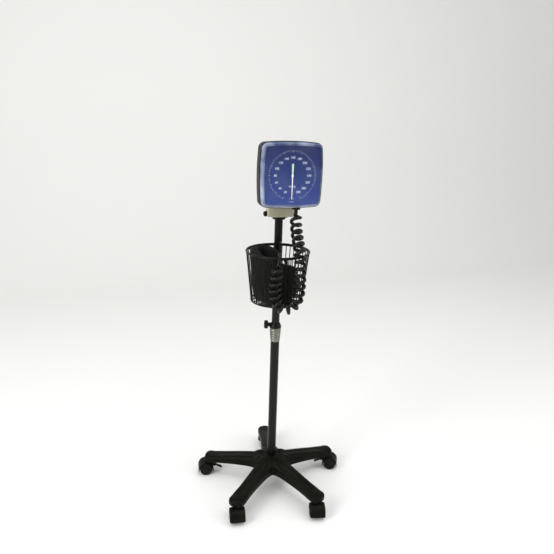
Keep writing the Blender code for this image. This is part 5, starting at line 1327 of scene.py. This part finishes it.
painted_highlight = add_node(tree, "ShaderNodeMath", {"operation": "ADD"}, {0: highlight_mottle.outputs["Fac"], 1: lower})
# Painted highlight on the bevel: noise mottles it and it grows lighter towards the bottom, while the alpha
# keeps the front pane clear
paint(tree, ramped(tree, painted_highlight.outputs["Value"], "#5a6c98", "#ccd6ea", 0.45, 0.85))
tree.links.new(window, shader.inputs["Alpha"])
piece("gauge_cover", [placed(cover, POLE)], acrylic, "head", "lens_cover")


# Studio: a pale paper sweep, a tall soft light on the left, a weaker one on the right and one overhead
SWEEP_HALF = 6.0
SWEEP_NEAR = -5.0
SWEEP_FAR = 2.0
SWEEP_RADIUS = 1.2
SWEEP_TOP = 5.0
a = np.linspace(0, math.pi / 2, 24)
sweep_y = SWEEP_FAR + SWEEP_RADIUS * np.sin(a)
sweep_y = np.concatenate([[SWEEP_NEAR], sweep_y, [SWEEP_FAR + SWEEP_RADIUS]])
sweep_z = np.concatenate([[0], SWEEP_RADIUS * (1 - np.cos(a)), [SWEEP_TOP]])
left = np.column_stack([np.full(len(sweep_y), -SWEEP_HALF), sweep_y, sweep_z])
right = left * (-1, 1, 1)
count = len(sweep_y)
faces = [[i, i + count, i + count + 1, i + 1] for i in range(count - 1)]
mesh = bpy.data.meshes.new("paper_sweep")
mesh.from_pydata(np.vstack([left, right]), [], faces)
mesh.shade_smooth()
paper = bpy.data.materials.new("pale paper")
paper.use_nodes = True
paper.node_tree.nodes["Principled BSDF"].inputs["Base Color"].default_value = linear("#f2f2f0")
paper.node_tree.nodes["Principled BSDF"].inputs["Roughness"].default_value = 0.9
mesh.materials.append(paper)
shown("paper_sweep", mesh)

for name, place, aim, size, power in (
    ("left_softbox", (-2.4, -1.3, 1.7), (0, 0, 0.6), (0.9, 2.2), 55),
    ("right_softbox", (2.4, -1.8, 1.5), (0, 0, 0.6), (1.4, 1.8), 22),
    ("top_softbox", (0.2, -0.6, 3.2), (0, 0, 0.4), (2.4, 2.4), 40),
):
    lamp = bpy.data.lights.new(name, "AREA")
    lamp.shape = "RECTANGLE"
    lamp.size, lamp.size_y = size
    lamp.energy = power
    holder = shown(name, lamp)
    holder.location = place
    holder.rotation_euler = (Vector(aim) - Vector(place)).to_track_quat("-Z", "Y").to_euler()

world = bpy.data.worlds.new("studio")
world.use_nodes = True
world.node_tree.nodes["Background"].inputs["Color"].default_value = (1, 1, 1, 1)
world.node_tree.nodes["Background"].inputs["Strength"].default_value = 0.55
bpy.context.scene.world = world
bpy.context.scene.view_settings.view_transform = "Standard"

# Camera: in front, turned a little to the left, looking down on the base
CAMERA_TURN = math.radians(17)
CAMERA_FALL = 0.288
CAMERA_ROLL = 0.0322
CAMERA_DISTANCE = 1.4754
CAMERA_HEIGHT = 1.1025
SENSOR = 36
LENS_SHARE = 550.6 / 554
NEAREST_SEEN = 0.01
right = Vector((math.cos(CAMERA_TURN), -math.sin(CAMERA_TURN), 0))
ahead = Vector(
    (
        math.sin(CAMERA_TURN) * math.cos(CAMERA_FALL),
        math.cos(CAMERA_TURN) * math.cos(CAMERA_FALL),
        -math.sin(CAMERA_FALL),
    )
)
above = right.cross(ahead)
camera = bpy.data.cameras.new("photograph")
camera.sensor_width = SENSOR
camera.lens = LENS_SHARE * SENSOR
camera.clip_start = NEAREST_SEEN
turn = Matrix(
    (
        right * math.cos(CAMERA_ROLL) + above * math.sin(CAMERA_ROLL),
        above * math.cos(CAMERA_ROLL) - right * math.sin(CAMERA_ROLL),
        -ahead,
    )
).transposed().to_4x4()
turn.translation = POLE.translation + Vector(
    (-math.sin(CAMERA_TURN) * CAMERA_DISTANCE, -math.cos(CAMERA_TURN) * CAMERA_DISTANCE, CAMERA_HEIGHT)
)
viewer = shown("photograph", camera)
viewer.matrix_world = turn
bpy.context.scene.camera = viewer
